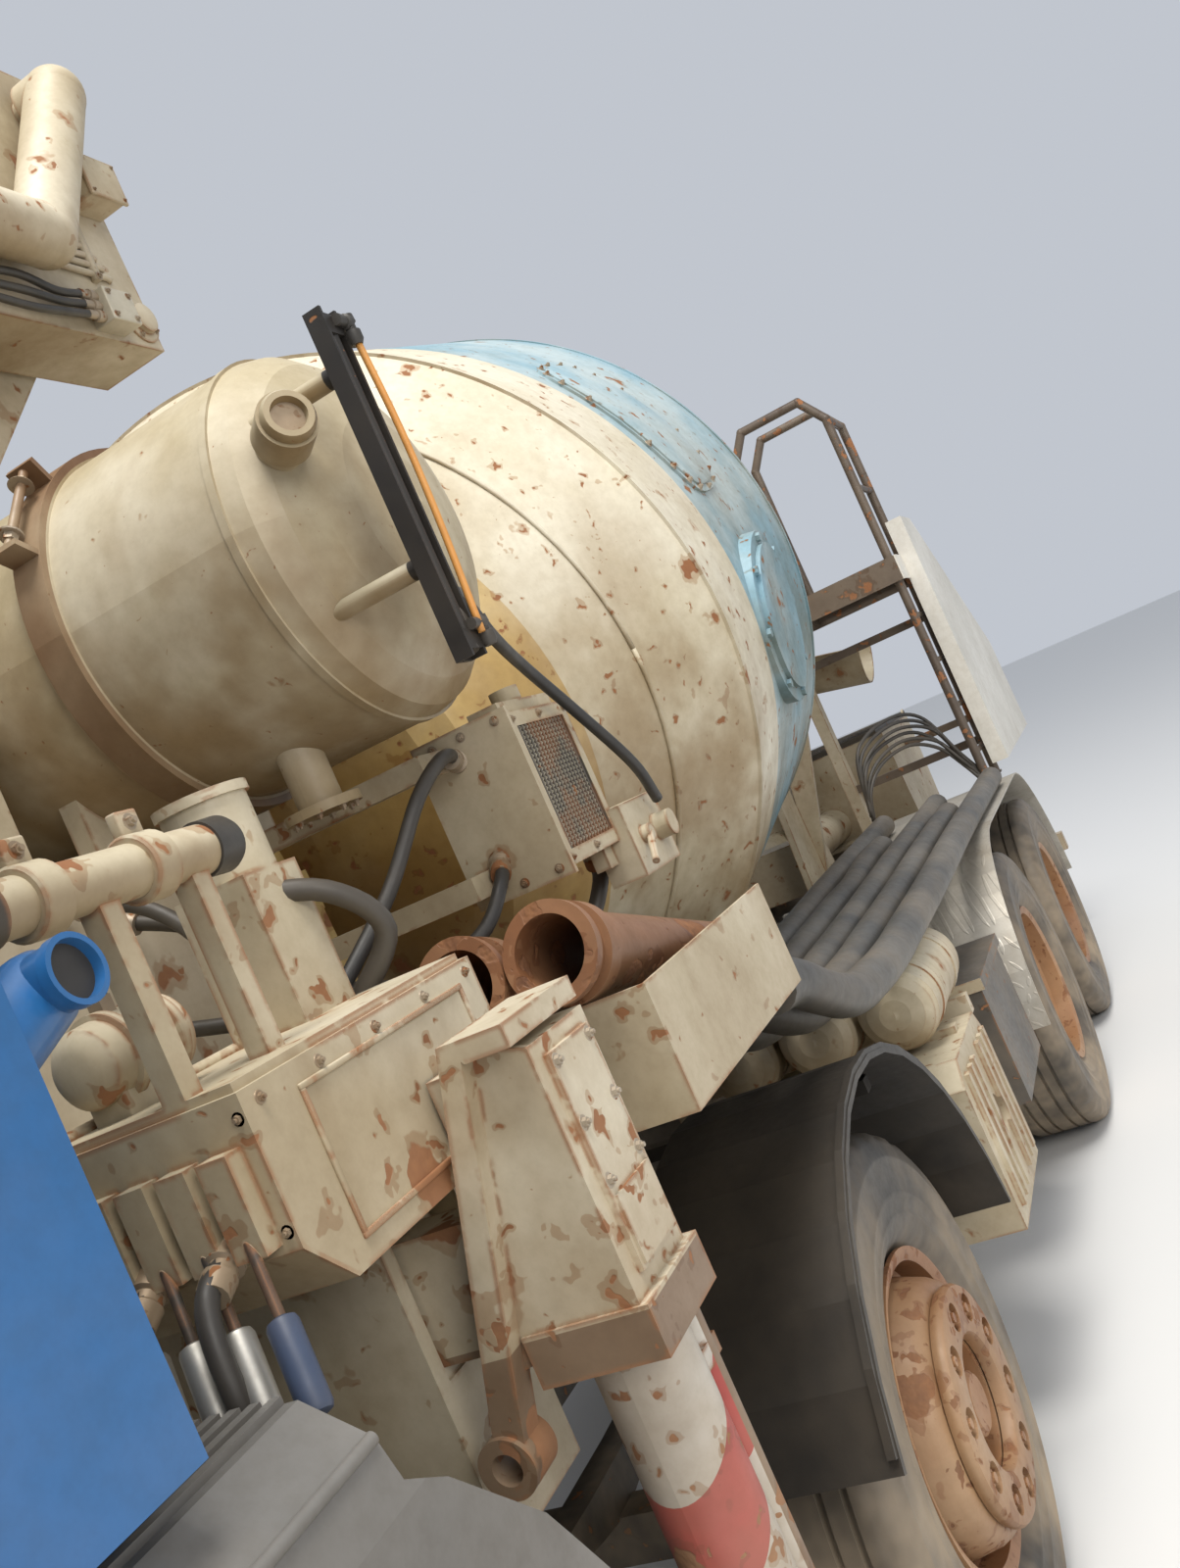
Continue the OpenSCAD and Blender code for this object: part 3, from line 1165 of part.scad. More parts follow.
// Air tanks, battery box, silencer, fuel tank: hung from the frame between axles 2 and 3
module side_tanks() {
    x0 = ax3 + 760;
    x1 = ax2 - 900;
    y0 = frame_w/2 + seat;
    tank_z0 = 1045;
    tank_r = 105;
    color(paint) {
        for (y = [665, 890, 1115]) translate([x1, y, tank_z0]) rotate([0, -90, 0]) rotate_extrude() polygon(concat(
            [for (i = [0 : 4]) [tank_r*sin(22.5*i), 45 - 45*cos(22.5*i)]],
            [for (i = [4 : -1 : 0]) [tank_r*sin(22.5*i), 515 + 45*cos(22.5*i)]]));
        // Cross bars under the tanks, and a strap round each one
        for (x = [x1 - 440, x1 - 160]) {
            span(x, x + 40, y0, 1215, tank_z0 - tank_r - 50, tank_z0 - tank_r + 4);
            for (y = [665, 890, 1115]) along_x(x, x + 40, y, tank_z0, 2*tank_r + 8);
        }
    }
    color(dark) {
        // Battery box with its lid, and the silencer, on the left
        span(x0, x0 + 520, y0, body_w/2 - 40, 520, 880);
        span(x0 - 12, x0 + 532, y0 + 60, body_w/2 - 28, 879, 915);
        // Fuel tank on the right, with rounded edges, straps and filler
        mirror([0, 1, 0]) {
            side_plate(concat(arc(x1 - 110, 590, 90, -90, 0, 4), arc(x1 - 110, 890, 90, 0, 90, 4),
                arc(x0 + 90, 890, 90, 90, 180, 4), arc(x0 + 90, 590, 90, 180, 270, 4)), y0, body_w/2 - 60);
            for (x = [x0 + 200, x1 - 260]) span(x, x + 50, y0, body_w/2 - 54, 494, 986);
            translate([x0 + 480, body_w/2 - 200, 979]) cylinder(d = 110, h = 40);
        }
    }
    // Ribbed silencer cover with a round hole
    color(paint) {
        c0 = x1 - 330;
        c1 = x1 + 150;
        difference() {
            union() {
                side_plate([[c0, 500], [c1, 500], [c1, 860], [c1 - 50, 925], [c0 + 50, 925], [c0, 860]],
                    y0 + 260, body_w/2 - 12);
                for (i = [0 : 6]) if (i != 3) span(c0 + 45 + 60*i, c0 + 75 + 60*i, body_w/2 - 13, body_w/2, 540, 880);
            }
            span(c0 + 10, c1 - 10, y0 + 250, body_w/2 - 24, 490, 850);
            along_y((c0 + c1)/2, body_w/2 - 30, body_w/2 + 1, 700, 110);
        }
        along_x(c0 + 20, c1 - 20, y0 + 470, 690, 300);
        for (x = [c0 + 60, c1 - 120]) span(x, x + 60, y0, y0 + 340, rail_z0 + 10, 800);
    }
}

// Rear ladder on the left with its platform and hoops, and the board beside the hopper
module ladder() {
    x = ax4 + 70;
    w = 400;
    y = body_w/2 - 110;
    y0 = 660;
    z0 = wheel_z + guard_r - 14 + seat;
    deck = 2250;
    color(rust) {
        for (dx = [0, w]) {
            bar([x - dx, y, z0], [x - dx, y, deck + 30], 42);
            span(x - dx - 30, x - dx + 30, y - 40, y + 25, z0, z0 + 8);
            // Hoop over the platform
            tube([[x - dx, y, deck + 20], [x - dx, y, deck + 800], [x - dx, y - 90, deck + 930],
                [x - dx, y0 + 90, deck + 930], [x - dx, y0, deck + 800], [x - dx, y0, deck + 20]], 42);
        }
        for (i = [0 : 3]) bar([x, y, 1330 + 235*i], [x - w, y, 1330 + 235*i], 26);
        for (z = [deck + 450, deck + 800]) bar([x, y, z], [x - w, y, z], 30);
        bar([x, y0, deck + 450], [x - w, y0, deck + 450], 30);
    }
    color(paint) {
        // Grating with a kick plate all round
        difference() {
            span(x - w - 50, x + 50, y0 - 30, y + 40, deck - 40, deck + 80);
            span(x - w - 45, x + 45, y0 - 25, y + 35, deck + 8, deck + 81);
            span(x - w - 45, x + 45, y0 - 25, y + 35, deck - 41, deck - 10);
            for (i = [0 : 8]) span(x - w - 20 + 50*i, x - w + 10 + 50*i, y0 - 5, y + 15, deck - 11, deck + 9);
        }
        // Beam to the chute's post
        span(post_x - 25, post_x + 25, 460 + seat, y, deck - 60, deck - 9);
    }
    // White board outside the hopper: a flat box on two arms
    color("white") {
        b = body_w/2 - 78;
        side_plate([[ax4 - 80, 1240], [ax4 - 80, 2500], [ax4 - 420, 2500], [rear_x + 140, 1760], [rear_x + 120, 1240]],
            b, body_w/2);
        for (z = [1330, 2000]) span(post_x - 20, post_x + 20, 460 + seat, b + 1, z, z + 40);
        span(rear_x + 420, rear_x + 460, 620 + seat, b + 1, 1400, 1440);
    }
}

// Charging funnel over the mouth and the collecting funnel behind it, on two posts
mouth_x = drum_x(drum_l);
mouth_z = drum_h(drum_l);
post_x = mouth_x - mouth_d*0.2 - 70;
pivot_x = post_x - 280;
pivot_z = 1780;
hopper_x1 = pivot_x - 105;
module funnel(low, high, z0, z1, t = 8) {
    difference() {
        hull() {
            span(low[0], low[1], -low[2], low[2], z0, z0 + 1);
            span(high[0], high[1], -high[2], high[2], z1 - 1, z1);
        }
        hull() {
            span(low[0] + t, low[1] - t, -low[2] + t, low[2] - t, z0 - 2, z0 + 1);
            span(high[0] + t, high[1] - t, -high[2] + t, high[2] - t, z1 - 1, z1 + 2);
        }
    }
}
module chute() {
    color(paint) {
        funnel([post_x + 30, post_x + 210, 200], [post_x - 330, post_x + 230, 420], mouth_z + 60, mouth_z + 620);
        funnel([pivot_x - 150, pivot_x + 150, 180], [pivot_x - 230, post_x + 80, 400], 2245, mouth_z - mouth_d/2 + 20);
        both_sides() {
            span(post_x - 40, post_x + 40, 400, 460, deck_z, mouth_z + 400);
            span(post_x - 40, post_x + 40, 312, 401, mouth_z + 350, mouth_z + 380);
            span(post_x - 40, post_x + 40, 330, 401, 2300, 2340);
            span(post_x - 90, post_x + 90, 320, 460, deck_z, deck_z + 20);
        }
        // Post of the swinging chute, on a cross plate
        span(pivot_x - 90, pivot_x + 90, -390, 390, deck_z, deck_z + 20);
        translate([pivot_x, 0, deck_z + 10]) cylinder(d = 110, h = pivot_z - deck_z - 10);
        translate([pivot_x, 0, pivot_z - 1]) cylinder(d = 60, h = 150);
    }
}

// Swinging chute: a half-round trough on a hub, parked pointing left
module swing_chute() {
    slope = 12;
    r = 200;
    trough_z = pivot_z + 400;
    color(paint) translate([pivot_x, 0, 0]) rotate(-90) {
        translate([0, 0, pivot_z + seat]) difference() {
            cylinder(d = 110, h = 185);
            translate([0, 0, -1]) cylinder(d = 60.2, h = 160);
        }
        difference() {
            translate([0, 0, trough_z]) rotate([0, -90 - slope, 0]) difference() {
                translate([0, 0, -170]) cylinder(r = r, h = 930);
                translate([0, 0, -180]) cylinder(r = r - 8, h = 960);
                translate([0, -300, -200]) cube([300, 600, 1100]);
            }
        }
        // Cradle between the hub and the trough
        difference() {
            span(-60, 60, -150, 150, pivot_z + 150, trough_z - 130);
            translate([0, 0, trough_z]) rotate([0, -90 - slope, 0])
                translate([0, 0, -300]) cylinder(r = r - 4, h = 900);
        }
    }
}

// Pump hopper at the back, with the concrete pump between the rails
hopper_top = 1560;
grid_x = rear_x + 45;
grid_z = hopper_top + 22;
module hopper() {
    x1 = hopper_x1;
    color(paint) difference() {
        side_plate([[rear_x + 120, 760], [x1 - 100, 760], [x1, hopper_top], [rear_x, hopper_top]], -620, 620);
        side_plate([[rear_x + 132, 772], [x1 - 112, 772], [x1 - 14, hopper_top + 10], [rear_x + 14, hopper_top + 10]],
            -608, 608);
    }
    // Eyes for the grid's pin
    color(paint) both_sides() difference() {
        union() {
            span(grid_x - 22, grid_x + 22, 608, 620, hopper_top - 10, grid_z);
            along_y(grid_x, 608, 620, grid_z, 44);
        }
        along_y(grid_x, 607, 621, grid_z, 20.2);
    }
    // Pump: two cylinders ahead of the hopper, the water box at their front and the outlet behind
    color(paint) {
        for (s = [-1, 1]) along_x(x1 - 75, ax4 + 350, s*160, deck_z + 120, 190);
        span(ax4 + 330, ax4 + 560, -290, 290, deck_z, deck_z + 240);
        along_x(rear_x + 25, rear_x + 125, 0, 900, 190);
        along_x(rear_x + 10, rear_x + 30, 0, 900, 240);
    }
    // Bumper bar behind the wheels with the rear lamps, on two arms from the rails
    color(dark) {
        span(rear_x + 110, rear_x + 190, -1180, 1180, 490, 590);
        both_sides() side_plate([[rear_x + 120, 500], [rear_x + 260, 500], [rail_x0 - 90, 690], [rail_x0 - seat, 760],
            [rail_x0 - seat, 890], [rail_x0 - 60, 890], [rail_x0 - 90, 752], [rear_x + 120, 620]],
            frame_w/2 - 70, frame_w/2 - 50);
    }
    color(rust) both_sides() for (i = [0 : 2])
        span(rear_x + 92, rear_x + 111, 850 + 105*i, 945 + 105*i, 500, 580);
    // Brackets to the ends of the side rails
    color(paint) both_sides()
        side_plate([[x1 - 88, 900], [rail_x0 - seat, 900], [rail_x0 - seat, frame_top], [x1 - 73, frame_top]],
            frame_w/2 - 80, frame_w/2);
}
// Grid over the hopper; it swings on a pin along the hopper's rear edge
module hopper_grid() {
    x1 = hopper_x1;
    z = hopper_top + seat;
    color(dark) {
        along_y(grid_x, -624, 624, grid_z, 20);
        for (y = [-590, 560]) span(grid_x, x1 - 20, y, y + 30, z, z + 30);
        for (x = [grid_x + 100 : 100 : x1 - 20]) span(x, x + 12, -590, 590, z, z + 30);
        // Rim that lies on the hopper's edge
        difference() {
            span(grid_x + 30, x1 - 3, -617, 617, z, z + 6);
            span(grid_x + 31, x1 - 35, -585, 585, z - 1, z + 7);
        }
    }
}

frame();
engine();
steer_axles();
drive_axles();
knuckle(ax1, true);  // knuckle_1l
knuckle(ax1, false);  // knuckle_1r
knuckle(ax2, true);  // knuckle_2l
knuckle(ax2, false);  // knuckle_2r
steer_wheel(ax1, true);  // wheel_1l
steer_wheel(ax1, false);  // wheel_1r
steer_wheel(ax2, true);  // wheel_2l
steer_wheel(ax2, false);  // wheel_2r
dual_wheel(ax3, true);  // wheel_3l
dual_wheel(ax3, false);  // wheel_3r
dual_wheel(ax4, true);  // wheel_4l
dual_wheel(ax4, false);  // wheel_4r
cab();
cab_front();
cab_inside();
door_l();
door_r();
window_l();
window_r();
windows();
front_guards();
rear_guards();
drum();
drum_drive();
drum_stand();
tower();
turret();
boom_1();
boom_2();
boom_3();
lift_barrel();
lift_rod();
water_tank();
oil_cooler();
controls();
outrigger_box();
outrigger_l();
outrigger_r();
leg_l();
leg_r();
tray();
delivery_pipes();
hose(0);  // hose_1
hose(1);  // hose_2
hose(2);  // hose_3
hose(3);  // hose_4
hose(4);  // hose_5
side_tanks();
ladder();
chute();
swing_chute();
hopper();
hopper_grid();
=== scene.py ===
import math
from functools import partial

import bmesh
import bpy
from mathutils import Matrix, Vector


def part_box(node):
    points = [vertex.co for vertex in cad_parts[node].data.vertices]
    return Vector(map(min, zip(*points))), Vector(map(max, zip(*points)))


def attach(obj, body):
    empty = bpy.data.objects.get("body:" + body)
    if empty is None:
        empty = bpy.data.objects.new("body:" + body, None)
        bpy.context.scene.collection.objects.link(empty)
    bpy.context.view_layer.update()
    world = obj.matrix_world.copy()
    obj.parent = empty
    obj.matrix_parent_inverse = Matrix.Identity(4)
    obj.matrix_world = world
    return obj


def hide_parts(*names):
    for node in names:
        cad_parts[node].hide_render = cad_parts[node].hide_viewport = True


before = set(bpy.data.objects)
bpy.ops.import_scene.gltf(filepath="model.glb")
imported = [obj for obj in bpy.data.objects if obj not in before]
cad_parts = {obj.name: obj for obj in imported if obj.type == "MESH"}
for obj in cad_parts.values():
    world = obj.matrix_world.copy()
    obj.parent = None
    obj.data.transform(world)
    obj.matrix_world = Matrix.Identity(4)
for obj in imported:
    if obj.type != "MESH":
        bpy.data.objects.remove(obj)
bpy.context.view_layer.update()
scene = bpy.context.scene
scene.view_settings.view_transform = "Standard"
both_sides = (("l", 1), ("r", -1))

# Camera: it stands beside the second axle, close to the left side, and looks back along the truck.
# It was held tilted, so the picture is rolled by 24 degrees.
camera_stand = (3.603, 1.999, 1.841)
photo_yaw = math.radians(22.3)
photo_pitch = math.radians(0.8)
photo_roll = math.radians(24.0)
looking = Vector((-math.cos(photo_yaw) * math.cos(photo_pitch),
                  -math.sin(photo_yaw) * math.cos(photo_pitch), math.sin(photo_pitch)))
level_right = looking.cross(Vector((0, 0, 1))).normalized()
level_up = level_right.cross(looking)
camera_right = math.cos(photo_roll) * level_right - math.sin(photo_roll) * level_up
camera_up = math.sin(photo_roll) * level_right + math.cos(photo_roll) * level_up
lens = bpy.data.cameras.new("photo_camera")
lens.sensor_fit = "VERTICAL"
lens.sensor_height = 24.0
lens.lens = 21.0
lens.clip_start = 0.05
camera = bpy.data.objects.new("photo_camera", lens)
camera_turn = Matrix((camera_right, camera_up, -looking)).transposed().to_4x4()
camera.matrix_world = Matrix.Translation(camera_stand) @ camera_turn
scene.collection.objects.link(camera)
scene.camera = camera


# An even material without wear, for the studio and for glass.
def plain(name, colour, roughness, see_through=0.0):
    material = bpy.data.materials.new(name)
    material.use_nodes = True
    shader = material.node_tree.nodes["Principled BSDF"]
    shader.inputs["Base Color"].default_value = (*colour, 1)
    shader.inputs["Roughness"].default_value = roughness
    shader.inputs["Transmission Weight"].default_value = see_through
    return material


# Studio: a pale floor, a pale world, one large soft lamp over the truck, one to its left and a weaker one
# in front of it.
bpy.ops.mesh.primitive_plane_add(size=120, location=(0, 0, 0))
floor = bpy.context.object
floor.name = "studio_floor"
floor.data.materials.append(plain("pale_floor", (0.74, 0.74, 0.73), 0.85))
world = bpy.data.worlds.new("studio_world")
scene.world = world
world.use_nodes = True
sky = world.node_tree.nodes["Background"]
sky.inputs["Color"].default_value = (0.86, 0.91, 1.0, 1)
sky.inputs["Strength"].default_value = 0.62
for lamp_name, spot, aim, power, size in (("high_lamp", (4.5, 3.5, 15), (0.5, 0, 1.5), 2150, 6),
                                          ("left_lamp", (10, 12, 8), (0, 0, 1.5), 850, 7),
                                          ("front_lamp", (14, -4, 7), (0, 0, 2), 450, 7)):
    lamp_data = bpy.data.lights.new(lamp_name, "AREA")
    lamp_data.energy = power
    lamp_data.size = size
    lamp_data.color = (1.0, 0.965, 0.91)
    lamp = bpy.data.objects.new(lamp_name, lamp_data)
    lamp.location = spot
    lamp.rotation_euler = (Vector(aim) - Vector(spot)).to_track_quat("-Z", "Y").to_euler()
    scene.collection.objects.link(lamp)


# Sets an input of a node to a value or links it to the output of another node.
def feed(tree, target, value):
    if isinstance(value, bpy.types.NodeSocket):
        tree.links.new(value, target)
    else:
        target.default_value = value


# A math node over numbers and outputs of other nodes.
def math_node(tree, kind, *values, clamp=False):
    made = tree.nodes.new("ShaderNodeMath")
    made.operation = kind
    made.use_clamp = clamp
    for target, value in zip(made.inputs, values):
        feed(tree, target, value)
    return made.outputs[0]


# A mix of two colours; the share is that of the second one.
def mix_node(tree, share, first, second, kind="MIX"):
    made = tree.nodes.new("ShaderNodeMix")
    made.data_type = "RGBA"
    made.blend_type = kind
    for index, value in ((0, share), (6, first), (7, second)):
        feed(tree, made.inputs[index], value)
    return made.outputs[2]


# The X, Y and Z of the object's own coordinates
def object_axes(tree):
    place = tree.nodes.new("ShaderNodeTexCoord")
    split = tree.nodes.new("ShaderNodeSeparateXYZ")
    tree.links.new(place.outputs["Object"], split.inputs[0])
    return split.outputs


def node_of(material, kind):
    return next(node for node in material.node_tree.nodes if node.type == kind)


# Weathered paint, the finish of most of the truck: faded in patches, rusted through in chips,
# streaked downwards by rain, dusty near the ground and darker brown on faces that look down, partly
# as painted shade.
def weather_group():
    group = bpy.data.node_groups.new("weathering", "ShaderNodeTree")
    amounts = ("Chips", "Chip Scale", "Streaks", "Dust", "Edges", "Grime And Shade")
    for direction, kind, names in (("INPUT", "NodeSocketColor", ("Paint", "Faded", "Rust")),
                                   ("INPUT", "NodeSocketFloat", amounts),
                                   ("OUTPUT", "NodeSocketColor", ("Color",)),
                                   ("OUTPUT", "NodeSocketFloat", ("Roughness", "Height"))):
        for name in names:
            group.interface.new_socket(name=name, in_out=direction, socket_type=kind)
    nodes, links = group.nodes, group.links
    given = nodes.new("NodeGroupInput")
    out = nodes.new("NodeGroupOutput")
    place = nodes.new("ShaderNodeTexCoord")
    maths = partial(math_node, group)
    blend = partial(mix_node, group)

    def noise(scale, detail, rough=0.6, stretch=None):
        made = nodes.new("ShaderNodeTexNoise")
        for key, value in (("Scale", scale), ("Detail", detail), ("Roughness", rough)):
            made.inputs[key].default_value = value
        vector = place.outputs["Object"]
        if stretch:
            mapping = nodes.new("ShaderNodeMapping")
            mapping.inputs["Scale"].default_value = stretch
            links.new(vector, mapping.inputs["Vector"])
            vector = mapping.outputs["Vector"]
        links.new(vector, made.inputs["Vector"])
        return made.outputs["Fac"]

    def ramp(value, low, high, out_low=0.0, out_high=1.0):
        made = nodes.new("ShaderNodeMapRange")
        made.interpolation_type = "SMOOTHSTEP"
        for key, amount in (("Value", value), ("From Min", low), ("From Max", high), ("To Min", out_low),
                            ("To Max", out_high)):
            feed(group, made.inputs[key], amount)
        return made.outputs["Result"]

    patches = ramp(noise(1.6, 4), 0.38, 0.66)
    fine = noise(38, 3, 0.7)
    colour = blend(patches, given.outputs["Paint"], given.outputs["Faded"])
    speckle = ramp(fine, 0.3, 0.75, 0.0, 0.18)
    colour = blend(speckle, colour, (0.42, 0.36, 0.25, 1), "MULTIPLY")

    # Chips: cells whose size differs from cell to cell, with ragged edges
    def chips(scale, share):
        cells = nodes.new("ShaderNodeTexVoronoi")
        warp = nodes.new("ShaderNodeVectorMath")
        warp.operation = "MULTIPLY_ADD"
        ragged = nodes.new("ShaderNodeTexNoise")
        ragged.inputs["Scale"].default_value = 26
        ragged.inputs["Detail"].default_value = 2
        links.new(place.outputs["Object"], ragged.inputs["Vector"])
        links.new(ragged.outputs["Color"], warp.inputs[0])
        warp.inputs[1].default_value = (0.075, 0.075, 0.075)
        links.new(place.outputs["Object"], warp.inputs[2])
        links.new(warp.outputs[0], cells.inputs["Vector"])
        links.new(maths("MULTIPLY", given.outputs["Chip Scale"], scale), cells.inputs["Scale"])
        chance = nodes.new("ShaderNodeSeparateColor")
        links.new(cells.outputs["Color"], chance.inputs["Color"])
        size = maths("MULTIPLY", maths("POWER", chance.outputs["Red"], 5.0), share)
        size = maths("MULTIPLY", size, given.outputs["Chips"])
        return maths("MULTIPLY", maths("SUBTRACT", size, cells.outputs["Distance"]), 22.0, clamp=True)

    rust = maths("MAXIMUM", chips(1.0, 0.5), chips(3.1, 0.55))
    halo = maths("MAXIMUM", chips(1.0, 0.75), chips(3.1, 0.9))
    wide = ramp(noise(3.3, 6, 0.68), 0.66, 0.76)
    worn = maths("MULTIPLY", wide, given.outputs["Chips"], clamp=True)
    rust = maths("MAXIMUM", rust, maths("MULTIPLY", worn, ramp(noise(24, 3, 0.7), 0.5, 0.6)))
    # Edges: paint knocked off along the sharp ones
    rounded = nodes.new("ShaderNodeBevel")
    rounded.samples = 4
    rounded.inputs["Radius"].default_value = 0.011
    flat = nodes.new("ShaderNodeNewGeometry")
    agree = nodes.new("ShaderNodeVectorMath")
    agree.operation = "DOT_PRODUCT"
    links.new(rounded.outputs["Normal"], agree.inputs[0])
    links.new(flat.outputs["Normal"], agree.inputs[1])
    edge = maths("MULTIPLY", ramp(agree.outputs["Value"], 0.985, 0.93),
                 ramp(noise(8.0, 4, 0.7), 0.44, 0.56))
    edge = maths("MULTIPLY", edge, given.outputs["Edges"], clamp=True)
    rust = maths("MAXIMUM", rust, edge)
    # Grime and painted shade: faces that look down are darkened brown, in clouds; partly road dirt
    # and oil, partly painted shade under the parts
    facing = nodes.new("ShaderNodeSeparateXYZ")
    links.new(place.outputs["Normal"], facing.inputs[0])
    downward = ramp(facing.outputs["Z"], 0.75, -0.45, 0.1, 1.0)
    under = maths("MULTIPLY", downward, ramp(noise(2.1, 4, 0.65), 0.22, 0.62))
    under = maths("MULTIPLY", under, given.outputs["Grime And Shade"], clamp=True)
    colour = blend(under, colour, (0.44, 0.33, 0.21, 1), "MULTIPLY")
    streak = ramp(noise(5.0, 3, 0.65, (1.0, 1.0, 0.1)), 0.52, 0.78)
    streak = maths("MULTIPLY", streak, given.outputs["Streaks"], clamp=True)
    colour = blend(maths("MULTIPLY", streak, 0.6), colour, (0.46, 0.33, 0.17, 1), "MULTIPLY")
    colour = blend(maths("MULTIPLY", halo, 0.45), colour, (0.5, 0.27, 0.1, 1), "MULTIPLY")
    rust_tone = blend(noise(31, 2, 0.7), given.outputs["Rust"], (0.31, 0.135, 0.05, 1))
    colour = blend(rust, colour, rust_tone)
    low = ramp(object_axes(group)["Z"], 1.5, 0.2, 0.25, 1.0)
    dusty = maths("MULTIPLY", maths("MULTIPLY", low, ramp(noise(2.4, 4, 0.7), 0.3, 0.75)),
                  given.outputs["Dust"], clamp=True)
    colour = blend(dusty, colour, (0.36, 0.28, 0.19, 1))
    rough = maths("ADD", maths("MULTIPLY", rust, 0.35), maths("MULTIPLY", fine, 0.28))
    rough = maths("ADD", maths("ADD", rough, maths("MULTIPLY", dusty, 0.2)), 0.34, clamp=True)
    pits = maths("MULTIPLY", rust, maths("SUBTRACT", noise(90, 1), 0.9))
    height = maths("ADD", maths("MULTIPLY", fine, 0.25), pits)
    links.new(colour, out.inputs["Color"])
    links.new(rough, out.inputs["Roughness"])
    links.new(height, out.inputs["Height"])
    return group


weathering = weather_group()


def weathered(name, paint, faded, rust=(0.2, 0.075, 0.03), chips=0.0, chip_scale=9.0, streaks=0.4, dust=0.3,
              metallic=0.0, coat=0.0, bump=0.25, edges=0.0, grime_and_shade=0.0):
    finish = bpy.data.materials.new(name)
    finish.use_nodes = True
    nodes, links = finish.node_tree.nodes, finish.node_tree.links
    shader = nodes["Principled BSDF"]
    worn = nodes.new("ShaderNodeGroup")
    worn.node_tree = weathering
    for key, value in (("Paint", (*paint, 1)), ("Faded", (*faded, 1)), ("Rust", (*rust, 1)),
                       ("Chips", chips), ("Chip Scale", chip_scale), ("Streaks", streaks), ("Dust", dust),
                       ("Edges", edges), ("Grime And Shade", grime_and_shade)):
        worn.inputs[key].default_value = value
    shader.inputs["Metallic"].default_value = metallic
    shader.inputs["Coat Weight"].default_value = coat
    relief = nodes.new("ShaderNodeBump")
    relief.inputs["Strength"].default_value = bump
    relief.inputs["Distance"].default_value = 0.004
    links.new(worn.outputs["Color"], shader.inputs["Base Color"])
    links.new(worn.outputs["Roughness"], shader.inputs["Roughness"])
    links.new(worn.outputs["Height"], relief.inputs["Height"])
    links.new(relief.outputs["Normal"], shader.inputs["Normal"])
    return finish


def finish_nodes(material, *names):
    for name in names:
        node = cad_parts[name]
        node.data.materials.clear()
        node.data.materials.append(material)


# A zone of a material: 1 where the object's own coordinates pass every test, 0 elsewhere. A test is an
# axis, a sign and a limit. "aY" is the distance from the middle plane, "slant" the place within slanting
# stripes, and "post" and "bar" the distance from an upright or a crosswise line given after the limit.
def zone(material, *tests):
    tree = material.node_tree
    axes = object_axes(tree)
    step = partial(math_node, tree)
    inside = 1.0
    for axis, sign, limit, *line in tests:
        if axis == "aY":
            value = step("ABSOLUTE", axes["Y"])
        elif axis in ("post", "bar"):
            other = step("ABSOLUTE", axes["Y"]) if axis == "post" else axes["Z"]
            across = step("SUBTRACT", axes["X"], line[0])
            over = step("SUBTRACT", other, line[1])
            value = step("SQRT", step("ADD", step("MULTIPLY", across, across),
                    step("MULTIPLY", over, over)))
        elif axis == "slant":
            climb = step("ADD", step("MULTIPLY", axes["X"], stripe_slope), axes["Z"])
            value = step("FRACT", step("DIVIDE", climb, stripe_step))
        else:
            value = axes[axis]
        inside = step("MULTIPLY", inside, step("GREATER_THAN" if sign == ">" else "LESS_THAN", value,
                limit))
    return inside


# Repaint a zone of a weathered material with another paint and its faded tone.
def repaint(material, inside, paint, faded, share=1.0):
    tree = material.node_tree
    strength = math_node(tree, "MULTIPLY", inside, share)
    for key, tone in (("Paint", paint), ("Faded", faded)):
        target = node_of(material, "GROUP").inputs[key]
        first = target.links[0].from_socket if target.links else tuple(target.default_value)
        feed(tree, target, mix_node(tree, strength, first, (*tone, 1)))


# The body's cream is darkened as painted shade; the drum's lighter cream is the painted-light tone of it
shaded_cream_tones = ((0.54, 0.475, 0.335), (0.67, 0.61, 0.475))
dark_plastic = ((0.16, 0.155, 0.145), (0.225, 0.215, 0.2))
cream = weathered("cream_paint", *shaded_cream_tones, chips=0.55, streaks=0.6, dust=0.6, edges=0.9, grime_and_shade=0.75)
finish_nodes(cream, "drum_stand", "tower", "turret", "boom_1", "boom_2", "boom_3", "lift_barrel",
             "outrigger_box", "tray", "chute", "swing_chute", "hopper")

# Ladder and hoops: dark steel with rust coming through; the board beside them is off-white.
ladder_steel = weathered("ladder_steel", (0.075, 0.055, 0.042), (0.15, 0.115, 0.085), chips=1.0,
        streaks=0.4, dust=0.4, metallic=0.1)
board = zone(ladder_steel, ("Y", ">", 1.1715))
repaint(ladder_steel, board, (0.62, 0.6, 0.54), (0.74, 0.72, 0.66))
# The board has hardly any chips
ladder_tree = ladder_steel.node_tree
feed(ladder_tree, node_of(ladder_steel, "GROUP").inputs["Chips"],
     math_node(ladder_tree, "MULTIPLY_ADD", board, -0.88, 1.0))
finish_nodes(ladder_steel, "ladder")

# Drum: rolled steel plate, cream, with a faded light blue band round its widest part and an ochre front.
# Its axis runs back and up; the bands lie along it, as shares of a length that starts before the drum.
drum_lean = (-0.97992, 0, 0.19937)
band_start, band_reach = -0.6556, 5.0
